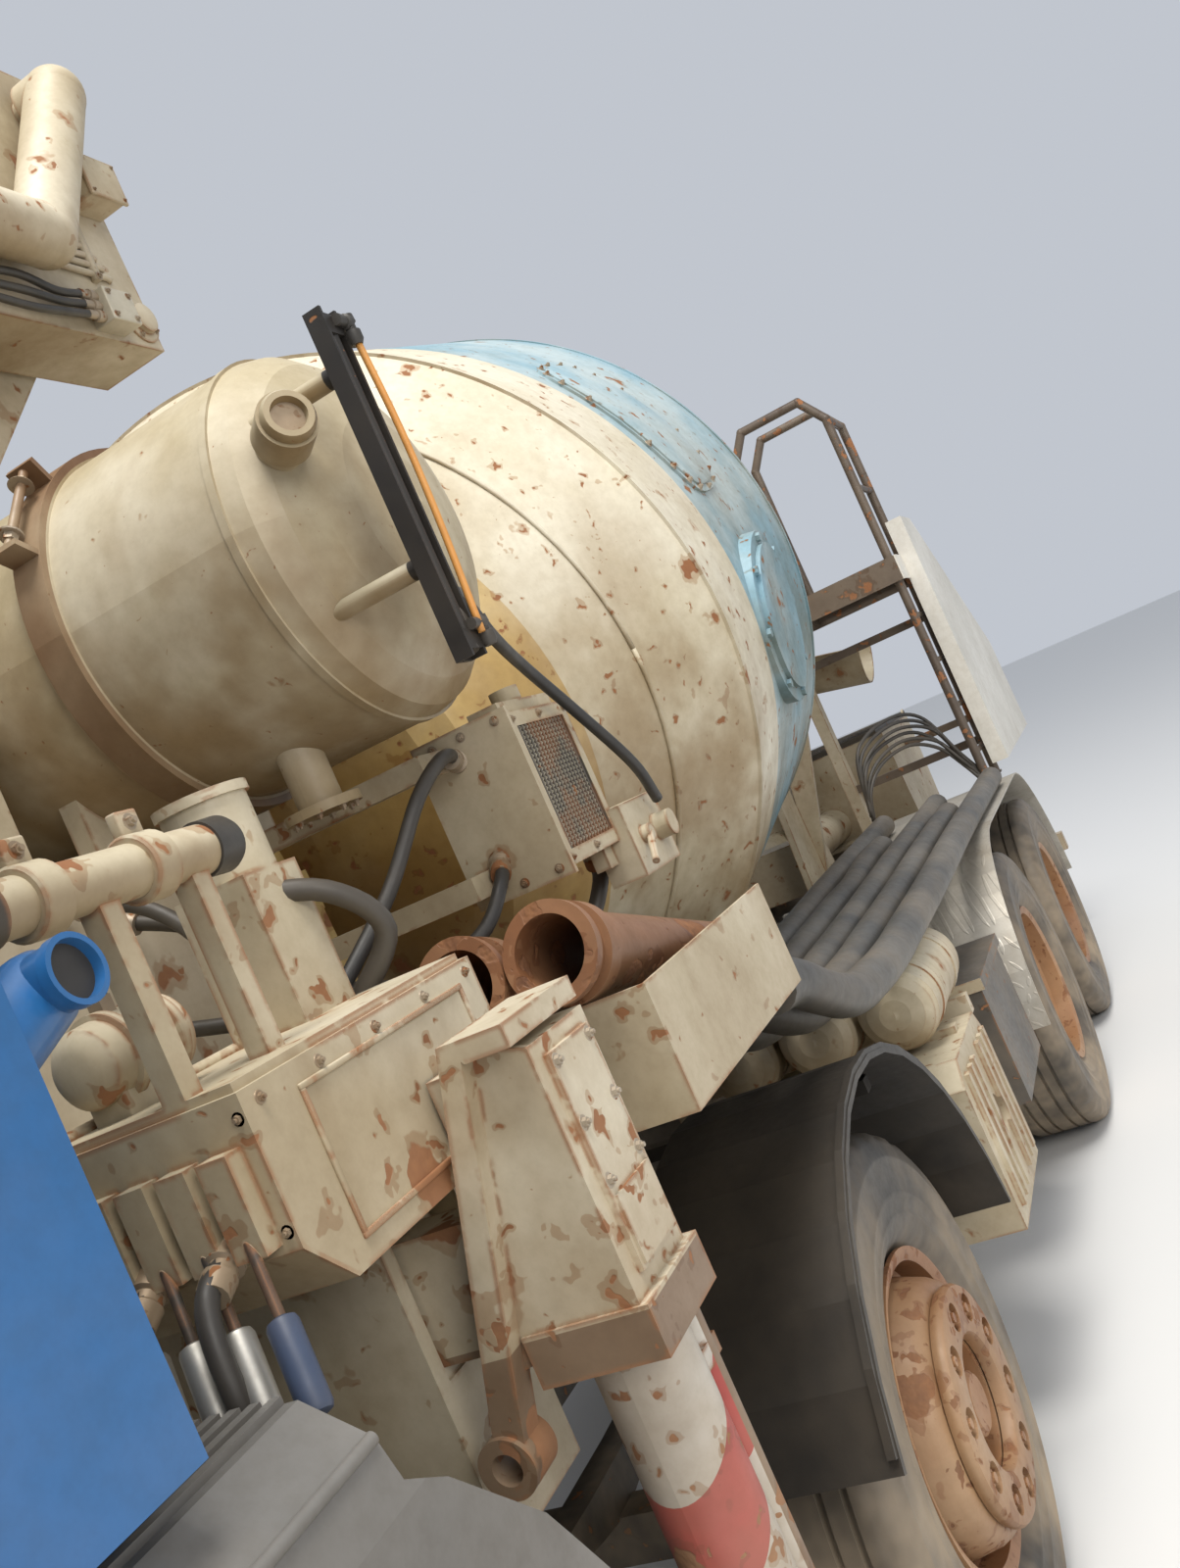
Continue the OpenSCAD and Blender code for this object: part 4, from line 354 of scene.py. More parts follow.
# The drum's cream is kept lighter than the body's cream as painted light
sunlit_drum_cream = (0.63, 0.565, 0.41)
drum_finish = weathered("drum_paint", sunlit_drum_cream, (0.76, 0.7, 0.56), chips=0.62, chip_scale=11.0,
                        streaks=0.45, dust=0.1, grime_and_shade=0.9)
drum_tree = drum_finish.node_tree
place = drum_tree.nodes.new("ShaderNodeTexCoord")
along = drum_tree.nodes.new("ShaderNodeVectorMath")
along.operation = "DOT_PRODUCT"
along.inputs[1].default_value = drum_lean
drum_tree.links.new(place.outputs["Object"], along.inputs[0])
span = drum_tree.nodes.new("ShaderNodeMapRange")
span.inputs["From Min"].default_value = band_start
span.inputs["From Max"].default_value = band_start + band_reach
drum_tree.links.new(along.outputs["Value"], span.inputs["Value"])
bands = drum_tree.nodes.new("ShaderNodeValToRGB")
bands.color_ramp.interpolation = "CONSTANT"
drum_tree.links.new(span.outputs["Result"], bands.inputs["Fac"])
stops = bands.color_ramp.elements
stops[1].position = 0.075
stops.new(0.244)
stops.new(0.45)
for stop, tone in zip(stops, ((0.52, 0.36, 0.13), sunlit_drum_cream, (0.2, 0.37, 0.46), sunlit_drum_cream)):
    stop.color = (*tone, 1)
group = node_of(drum_finish, "GROUP")
feed(drum_tree, group.inputs["Paint"], bands.outputs["Color"])
feed(drum_tree, group.inputs["Faded"], mix_node(drum_tree, 0.4, bands.outputs["Color"],
        (0.85, 0.83, 0.74, 1)))
finish_nodes(drum_finish, "drum")
ochre = weathered("ochre_paint", (0.52, 0.36, 0.13), (0.6, 0.45, 0.2), chips=0.5, dust=0.4)
finish_nodes(ochre, "drum_drive")

# Chassis paint: black, dusty and rusting.
chassis_black = weathered("chassis_black", (0.035, 0.033, 0.03), (0.07, 0.062, 0.05), chips=0.7, dust=0.8)
finish_nodes(chassis_black, "frame", "engine", "steer_axles", "drive_axles", "knuckle_1l", "knuckle_1r",
             "knuckle_2l", "knuckle_2r", "hopper_grid")
cab_blue = weathered("cab_blue", (0.008, 0.115, 0.33), (0.015, 0.15, 0.4), streaks=0.15, coat=0.4,
                     bump=0.08, grime_and_shade=0.3)
finish_nodes(cab_blue, "cab", "door_l", "door_r")
grey_plastic = weathered("grey_plastic", *dark_plastic, dust=0.5)
finish_nodes(grey_plastic, "cab_front", "cab_inside")

# The arc over the second axle is black plastic, browned by road dirt; the moulded guard before it is grey.
guard_plastic = weathered("guard_plastic", *dark_plastic, dust=0.14, grime_and_shade=0.4)
repaint(guard_plastic, zone(guard_plastic, ("X", "<", 1.95)), (0.018, 0.016, 0.014), (0.045, 0.037, 0.028))
finish_nodes(guard_plastic, "front_guards")
chequer = weathered("chequer_plate", (0.46, 0.43, 0.37), (0.6, 0.57, 0.51), chips=0.1, streaks=0.5,
                    dust=0.35, metallic=0.45)

# Raised bars of the tread plate: short ones that lean one way in every second cell and the other way
# in the rest, as relief.
cells_a_metre = 26.0
tread = partial(math_node, chequer.node_tree)
axes = object_axes(chequer.node_tree)
along = tread("MULTIPLY", tread("ADD", axes["X"], axes["Z"]), cells_a_metre)
across = tread("ADD", axes["Y"], tread("MULTIPLY", axes["Z"], 0.35))
across = tread("MULTIPLY", across, cells_a_metre)
cell_sum = tread("ADD", tread("FLOOR", along), tread("ADD", tread("FLOOR", across), 400.0))
lean = tread("SUBTRACT", tread("MULTIPLY", tread("MODULO", cell_sum, 2.0), 2.0), 1.0)
u = tread("SUBTRACT", tread("FRACT", along), 0.5)
v = tread("MULTIPLY", tread("SUBTRACT", tread("FRACT", across), 0.5), lean)
long = tread("DIVIDE", tread("ADD", u, v), 0.62)
wide = tread("DIVIDE", tread("SUBTRACT", u, v), 0.2)
bar = tread("SUBTRACT", 1.0, tread("ADD", tread("MULTIPLY", long, long), tread("MULTIPLY", wide, wide)))
bar = tread("MAXIMUM", tread("MINIMUM", tread("MULTIPLY", bar, 2.0), 1.0), 0.0)
height = node_of(chequer, "BUMP").inputs["Height"]
feed(chequer.node_tree, height, tread("MULTIPLY_ADD", bar, 1.6, height.links[0].from_socket))
finish_nodes(chequer, "rear_guards")
rusty_pipe = weathered("rusty_pipe", (0.2, 0.095, 0.045), (0.34, 0.17, 0.085), rust=(0.09, 0.035, 0.02),
                       chips=1.2, bump=0.6, grime_and_shade=0.4)
finish_nodes(rusty_pipe, "delivery_pipes")
hose_rubber = weathered("hose_rubber", (0.05, 0.05, 0.048), (0.11, 0.105, 0.095), streaks=0.5, dust=0.8)
bright_rod = weathered("bright_rod", (0.55, 0.55, 0.55), (0.6, 0.6, 0.6), chips=0.2, dust=0.2, metallic=1.0)
finish_nodes(bright_rod, "lift_rod", "leg_l", "leg_r")
glass = plain("window_glass", (0.75, 0.85, 0.85), 0.05, 1.0)
finish_nodes(glass, "windows", "window_l", "window_r")

# Jack tubes: white with red warning stripes that slant round them, chipped and rusting; the rest of
# the outrigger keeps the cream paint.
jack_paint = weathered("jack_paint", *shaded_cream_tones, chips=1.0, chip_scale=11.0, streaks=0.8, dust=0.6,
                       edges=1.6, grime_and_shade=0.9)
stripe_slope, stripe_step = 0.8, 0.3
on_tube = (("Z", "<", 1.238), ("post", "<", 0.085, 2.15, 1.165))
repaint(jack_paint, zone(jack_paint, ("Z", "<", 1.2995)), (0.17, 0.085, 0.042), (0.17, 0.085, 0.042), 0.8)
repaint(jack_paint, zone(jack_paint, *on_tube), (0.58, 0.55, 0.5), (0.68, 0.66, 0.61))
repaint(jack_paint, zone(jack_paint, *on_tube, ("slant", "<", 0.42)), (0.45, 0.022, 0.026),
        (0.52, 0.055, 0.055))
finish_nodes(jack_paint, "outrigger_l", "outrigger_r")

# Tank: cream in yellowish clouds; the channel of the sight gauge is black, and the two straps are rusty.
tank_paint = weathered("tank_paint", (0.5, 0.43, 0.28), (0.7, 0.65, 0.52), chips=0.25, chip_scale=17.0,
                       streaks=0.5, dust=0.3, grime_and_shade=1.0)
repaint(tank_paint, zone(tank_paint, ("Y", ">", 1.155)), (0.012, 0.012, 0.013), (0.03, 0.028, 0.027))
repaint(tank_paint, zone(tank_paint, ("aY", ">", 0.566), ("aY", "<", 0.634), ("bar", ">", 0.325, 1.6, 2.4)),
        (0.24, 0.135, 0.07), (0.42, 0.33, 0.22))
finish_nodes(tank_paint, "water_tank")

# Controls: cream boxes with black lever rods and a black cap on the end of the manifold pipe.
control_paint = weathered("control_paint", *shaded_cream_tones, chips=0.9, streaks=0.8, dust=0.6, edges=1.5,
        grime_and_shade=0.8)
for tests in ((("X", ">", 2.6475),), (("X", ">", 2.5565), ("Z", "<", 1.6))):
    repaint(control_paint, zone(control_paint, *tests), (0.022, 0.02, 0.018), (0.06, 0.05, 0.04))
finish_nodes(control_paint, "controls")

# Oil cooler: cream frame with dusty bare tubes in its window. Side boxes: the battery box and the fuel
# tank are dark grey, the air tanks and the ribbed cover cream.
cooler_paint = weathered("cooler_paint", *shaded_cream_tones, chips=0.5, streaks=0.6, dust=0.6, edges=0.9,
        grime_and_shade=0.6)
repaint(cooler_paint, zone(cooler_paint, ("X", ">", 1.273), ("X", "<", 1.482), ("Y", ">", 1.0365),
        ("Y", "<", 1.0495), ("Z", ">", 1.785), ("Z", "<", 2.015)), (0.1, 0.09, 0.075), (0.16, 0.145, 0.12))
finish_nodes(cooler_paint, "oil_cooler")
side_paint = weathered("side_paint", *shaded_cream_tones, chips=0.55, streaks=0.6, dust=0.6, edges=0.9, grime_and_shade=0.75)
for tests in ((("Y", "<", 0.0),), (("X", "<", -0.43),)):
    repaint(side_paint, zone(side_paint, *tests), (0.085, 0.083, 0.08), (0.14, 0.135, 0.128))
finish_nodes(side_paint, "side_tanks")

# Building blocks for pieces: a mesh object from what bm holds, its shading, its body and slot, a ring
# of vertices, the skin between rings, and the applying of a modifier. Edges that bend more than the
# crease, in radians, stay sharp.
crease = 0.6


def link_mesh(name, bm, *materials):
    mesh = bpy.data.meshes.new(name)
    bm.to_mesh(mesh)
    bm.free()
    piece = bpy.data.objects.new(name, mesh)
    scene.collection.objects.link(piece)
    for material in materials:
        mesh.materials.append(material)
    return piece


def shade(bm):
    bmesh.ops.recalc_face_normals(bm, faces=bm.faces)
    for face in bm.faces:
        face.smooth = True
    for edge in bm.edges:
        edge.smooth = edge.calc_face_angle(0) < crease


def fit(piece, body):
    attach(piece, body)
    return piece


def circle(bm, middle, radius, side, over, count):
    turns = [2 * math.pi * step / count for step in range(count)]
    return [bm.verts.new(middle + radius * (math.cos(turn) * side + math.sin(turn) * over))
            for turn in turns]


def skin(bm, rings):
    count = len(rings[0])
    for low, high in zip(rings, rings[1:]):
        for here in range(count):
            there = (here + 1) % count
            bm.faces.new((low[here], low[there], high[there], high[here]))


def apply_modifier(piece, modifier):
    bpy.ops.object.select_all(action="DESELECT")
    piece.select_set(True)
    bpy.context.view_layer.objects.active = piece
    bpy.ops.object.modifier_apply(modifier=modifier.name)


# Wheels and tyres: a worn road tyre with four grooves and raised rings on its walls, on a rusty steel
# rim. The steered wheels have a smooth bulging disc with a guard ring round their nuts, the others ten
# hand holes. Each wheel replaces its plain CAD solid.
stud_circle, stud_count = 0.1675, 10
nut_across, nut_height = 0.034, 0.026


def turned(name, profile, centre, side, segments, material, notch=None):
    bm = bmesh.new()
    rings = []
    for step in range(segments):
        angle = 2 * math.pi * step / segments
        ring = []
        for radius, offset in profile:
            if notch and step % 3 == 0 and notch[0] < abs(offset) < notch[1] and radius > notch[2]:
                radius -= notch[3]
            ring.append(bm.verts.new((centre[0] + radius * math.cos(angle), centre[1] + side * offset,
                                      centre[2] + radius * math.sin(angle))))
        rings.append(ring)
    skin(bm, rings + rings[:1])
    bmesh.ops.remove_doubles(bm, verts=bm.verts, dist=1e-5)
    shade(bm)
    return link_mesh(name, bm, material)


# Places on a circle round a wheel's axle
def stud_places(centre, side, offset, pitch, shift):
    for step in range(stud_count):
        angle = 2 * math.pi * (step + shift) / stud_count
        yield Matrix.Translation((centre[0] + pitch * math.cos(angle), centre[1] + side * offset,
                                  centre[2] + pitch * math.sin(angle)))


def nut_ring(name, centre, side, foot):
    bm = bmesh.new()
    turn = Matrix.Rotation(-side * math.pi / 2, 4, "X")
    washer = Matrix.Translation((0, -side * (nut_height / 2 - 0.002), 0))
    for spot in stud_places(centre, side, foot + nut_height / 2, stud_circle, 0.5):
        for sides, wide, top, tall, place in ((6, 0.5, 0.46, nut_height, spot),
                                              (12, 0.3, 0.27, nut_height * 1.5, spot),
                                              (16, 0.68, 0.62, 0.005, washer @ spot)):
            bmesh.ops.create_cone(bm, cap_ends=True, segments=sides, radius1=nut_across * wide,
                                  radius2=nut_across * top, depth=tall, matrix=place @ turn)
    return link_mesh(name, bm, rim_rust)


def round_holes(disc, centre, side, low, high, pitch, bore, shift):
    bm = bmesh.new()
    turn = Matrix.Rotation(math.pi / 2, 4, "X")
    for spot in stud_places(centre, side, (low + high) / 2, pitch, shift):
        bmesh.ops.create_cone(bm, cap_ends=True, segments=24, radius1=bore, radius2=bore, depth=high - low,
                              matrix=spot @ turn)
    bmesh.ops.recalc_face_normals(bm, faces=bm.faces)
    cutter = link_mesh("cutters", bm)
    cut = disc.modifiers.new("holes", "BOOLEAN")
    cut.object = cutter
    apply_modifier(disc, cut)
    bpy.data.objects.remove(cutter)


tyre_half = [(0.2858, 0.103), (0.3, 0.112), (0.318, 0.128), (0.335, 0.139), (0.352, 0.1435),
             (0.356, 0.1462), (0.362, 0.1462), (0.366, 0.1445), (0.392, 0.1495), (0.396, 0.152),
             (0.401, 0.152), (0.405, 0.15), (0.43, 0.151), (0.462, 0.1495), (0.466, 0.1512),
             (0.471, 0.1507), (0.475, 0.1485), (0.5, 0.142), (0.518, 0.131), (0.526, 0.118), (0.529, 0.106),
             (0.53, 0.098), (0.53, 0.08), (0.519, 0.077), (0.519, 0.07), (0.53, 0.067), (0.53, 0.036),
             (0.519, 0.033), (0.519, 0.026), (0.53, 0.023)]
tyre_profile = tyre_half + [(r, -w) for r, w in reversed(tyre_half)]
barrel = [(0.2735, -0.128), (0.2995, -0.128), (0.2995, -0.118), (0.2875, -0.105), (0.2855, -0.103),
          (0.2855, -0.06), (0.2595, -0.04), (0.2595, 0.04), (0.2855, 0.06), (0.2855, 0.103),
          (0.2875, 0.105), (0.2995, 0.118), (0.2995, 0.128), (0.2935, 0.1285), (0.2735, 0.12),
          (0.2735, 0.066), (0.2475, 0.044), (0.2475, -0.044), (0.2735, -0.066)]
disc = [(0.118, 0.154), (0.205, 0.154), (0.216, 0.148), (0.224, 0.134), (0.2515, 0.03), (0.2515, 0.006),
        (0.2615, 0.006), (0.2615, 0.038), (0.236, 0.142), (0.227, 0.158), (0.212, 0.168), (0.118, 0.168)]
nut_guard = [(0.119, 0.171), (0.119, 0.19), (0.123, 0.197), (0.131, 0.2), (0.199, 0.2), (0.208, 0.197),
             (0.213, 0.189), (0.213, 0.18), (0.208, 0.171)]
steer_hub = [(0.0, 0.178), (0.05, 0.178), (0.058, 0.171), (0.064, 0.128), (0.105, 0.122), (0.1135, 0.128),
             (0.1135, 0.166), (0.125, 0.166), (0.125, -0.06), (0.0453, -0.06), (0.0453, 0.152),
             (0.0, 0.152)]
drive_hub = [(0.0, 0.198), (0.088, 0.198), (0.095, 0.19), (0.095, 0.146), (0.118, 0.142), (0.125, 0.136),
             (0.125, -0.2), (0.0553, -0.2), (0.0553, 0.1), (0.0, 0.1)]
steer_drum = [(0.125, -0.05), (0.21, -0.05), (0.21, -0.08), (0.125, -0.08)]
drive_drum = [(0.092, -0.27), (0.21, -0.27), (0.21, -0.19), (0.125, -0.19), (0.092, -0.222)]

# Bars across the tyre's shoulders: every third step of the turn is cut in between these offsets, above
# this radius and this deep
tyre_notch = (0.104, 0.133, 0.51, 0.008)

# Tyre rubber: dark in the tread grooves, grey-brown with dust on the walls.
tyre_rubber = weathered("tyre_rubber", (0.04, 0.036, 0.031), (0.105, 0.085, 0.063), streaks=0.3, dust=1.0,
                        bump=0.4)
rim_rust = weathered("rim_rust", (0.28, 0.125, 0.05), (0.42, 0.23, 0.11), rust=(0.14, 0.055, 0.028),
                     chips=0.9, chip_scale=14.0, streaks=0.7, dust=0.3, bump=0.6)
disc_paint = weathered("disc_paint", (0.27, 0.135, 0.06), (0.42, 0.26, 0.14), rust=(0.12, 0.05, 0.028),
                       chips=1.3, chip_scale=11.0, streaks=0.7, dust=0.3, bump=0.6)
steer_middle, drive_middle, twin_half = 1.02, 0.92, 0.1725
for axle in (1, 2, 3, 4):
    for letter, side in both_sides:
        wheel = "wheel_%d%s" % (axle, letter)
        low, high = (Vector(c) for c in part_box(wheel))
        steered = axle < 3
        # The node's outline gives its middle; a twin wheel's middle plane lies between its tyres
        middle = (low + high) / 2
        middle.y = side * (steer_middle if steered else drive_middle)
        pieces = []
        for row in ((0.0,) if steered else (twin_half, -twin_half)):
            centre = (middle.x, middle.y + side * row, middle.z)
            tag = "%s_%s" % (wheel, "outer" if row >= 0 else "inner")
            pieces += [turned(tag + "_tyre", tyre_profile, centre, side, 120, tyre_rubber, tyre_notch),
                       turned(tag + "_rim", barrel, centre, side, 96, rim_rust)]
            facing = side if row <= 0 else -side
            dish = turned(tag + "_disc", disc, centre, facing, 96, disc_paint)
            if not steered:
                round_holes(dish, centre, facing, 0.05, 0.2, 0.232, 0.024, 0.0)
            pieces.append(dish)
        centre = tuple(middle)
        hub = turned(wheel + "_hub", steer_hub if steered else drive_hub, centre, side, 48, rim_rust)
        brake = turned(wheel + "_brake_drum", steer_drum if steered else drive_drum, centre, side, 64,
                       rim_rust)
        nuts = nut_ring(wheel + "_nuts", centre, side, 0.167 if steered else 0.004)
        if steered:
            # The nuts of the steered wheels sit in the round holes of a guard ring
            cover = turned(wheel + "_nut_guard", nut_guard, centre, side, 96, disc_paint)
            round_holes(cover, centre, side, 0.15, 0.22, stud_circle, 0.0265, 0.5)
            pieces.append(cover)
        for piece in pieces + [hub, brake, nuts]:
            fit(piece, wheel)
        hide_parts(wheel)

# Loose rubber hoses: five thick ones laid back from behind the tray, over the air tanks and the
# rear guard. The routes are those of the CAD solids, which they replace.
hose_line = [(1.21, 1.395), (1.09, 1.375), (0.94, 1.31), (0.76, 1.245), (0.53, 1.216), (0.28, 1.202),
             (0.02, 1.202), (-0.24, 1.202), (-0.5, 1.203), (-0.76, 1.206), (-1.02, 1.21), (-1.28, 1.213),
             (-1.54, 1.214), (-1.8, 1.214), (-2.06, 1.214), (-2.32, 1.214), (-2.58, 1.214), (-2.82, 1.214)]
# Each hose's place across the truck, the number of its stations and how far it sways
hose_rows = [(1.18, 18, 0.0), (1.064, 15, 0.0), (0.948, 17, 0.0), (0.818, 14, 0.014), (0.694, 17, 0.0)]
hose_across = 0.096
for row, (aside, reach, swing) in enumerate(hose_rows):
    name = "loose_hose_%d" % (row + 1)
    sway = [0.0] * 9 + [swing * math.sin(math.pi / 2 * (k - 9)) for k in range(9, reach)]
    stations = [Vector((hose_line[k][0], aside + sway[k], hose_line[k][1])) for k in range(reach)]
    curve = bpy.data.curves.new(name, "CURVE")
    curve.dimensions = "3D"
    curve.bevel_depth = hose_across / 2
    curve.bevel_resolution = 6
    curve.resolution_u = 5
    curve.use_fill_caps = True
    spline = curve.splines.new("BEZIER")
    spline.bezier_points.add(reach - 1)
    for point, place in zip(spline.bezier_points, stations):
        point.co = place
        point.handle_left_type = point.handle_right_type = "AUTO"
    hose = bpy.data.objects.new(name, curve)
    scene.collection.objects.link(hose)
    curve.materials.append(hose_rubber)
    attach(hose, "chassis")
    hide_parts("hose_%d" % (row + 1))


# Hydraulic hoses, pipes and cables that the truck holds at both ends: swept round tubes, on a
# Catmull-Rom curve through their stations where they are smooth.
def sweep(name, stations, radius, material, body="chassis", sides=10, smooth=True):
    points = [Vector(p) for p in stations]
    if smooth:
        padded = [2 * points[0] - points[1]] + points + [2 * points[-1] - points[-2]]
        fine = []
        for a, b, c, d in zip(padded, padded[1:], padded[2:], padded[3:]):
            for step in range(6):
                t = step / 6
                fine.append(0.5 * (2 * b + (c - a) * t + (2 * a - 5 * b + 4 * c - d) * t * t
                                   + (3 * b - a - 3 * c + d) * t * t * t))
        points = fine + [points[-1]]
    bm = bmesh.new()
    side = None
    rings = []
    for k, point in enumerate(points):
        forward = (points[min(k + 1, len(points) - 1)] - points[max(k - 1, 0)]).normalized()
        if side is None:
            side = forward.orthogonal()
        side = (side - forward * side.dot(forward)).normalized()
        rings.append(circle(bm, point, radius, side, forward.cross(side), sides))
    skin(bm, rings)
    for face in bm.faces:
        face.smooth = True
    bm.faces.new(reversed(rings[0]))
    bm.faces.new(rings[-1])
    bmesh.ops.recalc_face_normals(bm, faces=bm.faces)
    return fit(link_mesh(name, bm, material), body)


# Turned fittings: couplings, valve bodies, grips and caps, lathed along a line from a list of
# shares of the length and radii.
def lathe(name, start, end, steps, material, body="chassis", sides=20):
    start, end = Vector(start), Vector(end)
    forward = (end - start).normalized()
    side = forward.orthogonal().normalized()
    over = forward.cross(side)
    bm = bmesh.new()
    rings = [circle(bm, start.lerp(end, share), radius, side, over, sides) for share, radius in steps]
    skin(bm, rings)
    bm.faces.new(reversed(rings[0]))
    bm.faces.new(rings[-1])
    shade(bm)
    return fit(link_mesh(name, bm, material), body)


# Bevelled hexagon bolts with washers, in one mesh: each row is a place and the way it points. The parts
# of a bolt are a washer, a head and a stud: radius, height, sides and lift, as shares of its width.
bolt_parts = ((0.8, 0.1, 20, 0.05), (0.5, 0.42, 6, 0.3), (0.26, 0.7, 12, 0.45))


def bolts(name, rows, across, material=None, body="chassis"):
    bm = bmesh.new()
    for spot, facing in rows:
        turn = Vector(facing).to_track_quat("Z", "Y").to_matrix().to_4x4()
        for radius, height, sides, lift in bolt_parts:
            place = Matrix.Translation(spot) @ turn @ Matrix.Translation((0, 0, across * lift))
            bmesh.ops.create_cone(bm, cap_ends=True, segments=sides, radius1=across * radius,
                                  radius2=across * radius * 0.94, depth=across * height, matrix=place)
    return fit(link_mesh(name, bm, material or fitting_steel), body)


# Bevelled boxes: a primitive cube set to its size, with its edges rounded
def block(name, low, high, edge, material, body="chassis"):
    bpy.ops.object.select_all(action="DESELECT")
    bpy.ops.mesh.primitive_cube_add(size=1, location=[(a + b) / 2 for a, b in zip(low, high)])
    piece = bpy.context.object
    piece.name = name
    piece.scale = [b - a for a, b in zip(low, high)]
    bpy.ops.object.transform_apply(location=True, rotation=False, scale=True)
    soft = piece.modifiers.new("edge", "BEVEL")
    soft.width = edge
    soft.segments = 3
    bpy.ops.object.modifier_apply(modifier=soft.name)
    bpy.ops.object.shade_smooth_by_angle(angle=math.radians(40))
    piece.data.materials.append(material)
    return fit(piece, body)


# Black hydraulic hose, rusty steel fittings and the orange tube of the sight gauge.
hydraulic_hose = weathered("hydraulic_hose", (0.022, 0.021, 0.02), (0.05, 0.046, 0.04), streaks=0.2,
        dust=0.5)
fitting_steel = weathered("fitting_steel", (0.3, 0.22, 0.14), (0.42, 0.36, 0.28), chips=1.2,
        chip_scale=22.0, dust=0.4, metallic=0.35)
orange_tube = weathered("orange_tube", (0.62, 0.26, 0.05), (0.66, 0.34, 0.1), streaks=0.5, dust=0.2)

# Sight gauge: an orange tube between two cocks on the channel beside the tank's left dome
gauge_x, gauge_y = 1.83, 1.188
sweep("gauge_tube", [(gauge_x - 0.018, gauge_y + 0.02, 2.13), (gauge_x - 0.03, gauge_y + 0.024, 2.3),
                     (gauge_x - 0.036, gauge_y + 0.024, 2.45), (gauge_x - 0.036, gauge_y + 0.018, 2.6)],
      0.0055, orange_tube, sides=12)
for name, height in (("gauge_cock_low", 2.11), ("gauge_cock_high", 2.585)):
    lathe(name, (gauge_x - 0.034, gauge_y + 0.017, height),
          (gauge_x - 0.034, gauge_y + 0.017, height + 0.045), [(0, 0.009), (0.15, 0.013), (0.45, 0.013),
            (0.5, 0.009), (0.7, 0.009), (0.75, 0.012), (1, 0.011)], hydraulic_hose)
    lathe(name + "_arm", (gauge_x - 0.034, gauge_y + 0.017, height + 0.035),
          (gauge_x, gauge_y + 0.017, height + 0.035), [(0, 0.012), (0.3, 0.012), (0.35, 0.009), (1, 0.009)],
          hydraulic_hose, sides=12)
# Hose from the gauge's foot, over the cooler, to the valve block
sweep("gauge_hose", [(1.83, 1.19, 2.11), (1.79, 1.18, 2.19), (1.7, 1.15, 2.21), (1.58, 1.12, 2.15),
                     (1.44, 1.09, 2.1), (1.3, 1.09, 2.0), (1.2, 1.11, 1.88), (1.13, 1.1, 1.8)], 0.011,
      hydraulic_hose)
# Hydraulic hoses round the cooler, between the tower and the valve bank
hose_routes = [
    [(1.27, 0.99, 1.78), (1.22, 0.96, 1.7), (1.3, 0.9, 1.62), (1.48, 0.8, 1.64), (1.6, 0.6, 1.72),
     (1.62, 0.49, 1.8)],
    [(1.5, 0.93, 1.82), (1.58, 0.95, 1.78), (1.66, 0.92, 1.72), (1.78, 0.84, 1.7), (1.92, 0.7, 1.74),
     (1.98, 0.49, 1.8)],
    [(1.5, 0.93, 2.0), (1.6, 0.96, 2.01), (1.7, 0.94, 1.96), (1.8, 0.88, 1.84), (1.94, 0.8, 1.72),
     (2.03, 0.79, 1.66)],
    [(2.53, 0.84, 1.58), (2.6, 0.84, 1.54), (2.6, 0.84, 1.42), (2.52, 0.8, 1.3), (2.46, 0.66, 1.22),
     (2.44, 0.49, 1.2)],
    [(2.53, 0.9, 1.58), (2.61, 0.9, 1.53), (2.62, 0.9, 1.4), (2.54, 0.86, 1.27), (2.46, 0.7, 1.18),
     (2.44, 0.49, 1.16)],
    [(2.53, 1.0, 1.58), (2.6, 1.01, 1.55), (2.62, 1.02, 1.44), (2.58, 0.98, 1.3), (2.48, 0.8, 1.18),
     (2.4, 0.42, 1.06)],
    [(2.12, 0.86, 1.92), (2.05, 0.95, 1.88), (2.0, 0.98, 1.8), (2.02, 0.9, 1.72), (2.03, 0.82, 1.68)],
    [(2.05, 0.8, 1.78), (1.97, 0.74, 1.84), (1.93, 0.62, 1.92), (1.95, 0.49, 1.98)],
    [(2.1, 0.8, 1.8), (2.02, 0.7, 1.9), (2.0, 0.6, 1.98), (2.03, 0.49, 2.02)]]
for index, route in enumerate(hose_routes, 1):
    sweep("hydraulic_hose_%d" % index, route, 0.016 if index % 3 == 1 else 0.0125, hydraulic_hose)
    for end, (a, b) in (("a", (route[0], route[1])), ("b", (route[-1], route[-2]))):
        way = (Vector(b) - Vector(a)).normalized()
        lathe("hose_end_%d%s" % (index, end), Vector(a), Vector(a) + way * 0.06, [(0, 0.014), (0.05, 0.021),
                (0.35, 0.021), (0.4, 0.016), (0.55, 0.016), (0.6, 0.019), (1, 0.0175)], fitting_steel,
              sides=14)

# Drum: a weld round each of two places, the bolted hatch on its band, and two spiral blades inside its
# mouth. Places are given by the length along its axis, the angle round it and the distance from it.
drum_nose = (1.08, 2.02)
hatch_spot = (1.48, math.radians(27))
hatch_half = (0.19, 0.27)
shell_radius, mouth_radius = 1.125, 0.53


def drum_place(along, angle, radius):
    back, _, up = drum_lean
    return Vector((drum_nose[0] + back * along + radius * up * math.sin(angle), radius * math.cos(angle),
                   drum_nose[1] + up * along - radius * back * math.sin(angle)))


# A place on the hatch's outline, which is a rounded rectangle, or a share of the way to it
def hatch_place(angle, share):
    wide, deep = (math.copysign(abs(way) ** 0.6, way) * share for way in (math.cos(angle), math.sin(angle)))
    return hatch_spot[0] + hatch_half[0] * wide, hatch_spot[1] + hatch_half[1] * deep


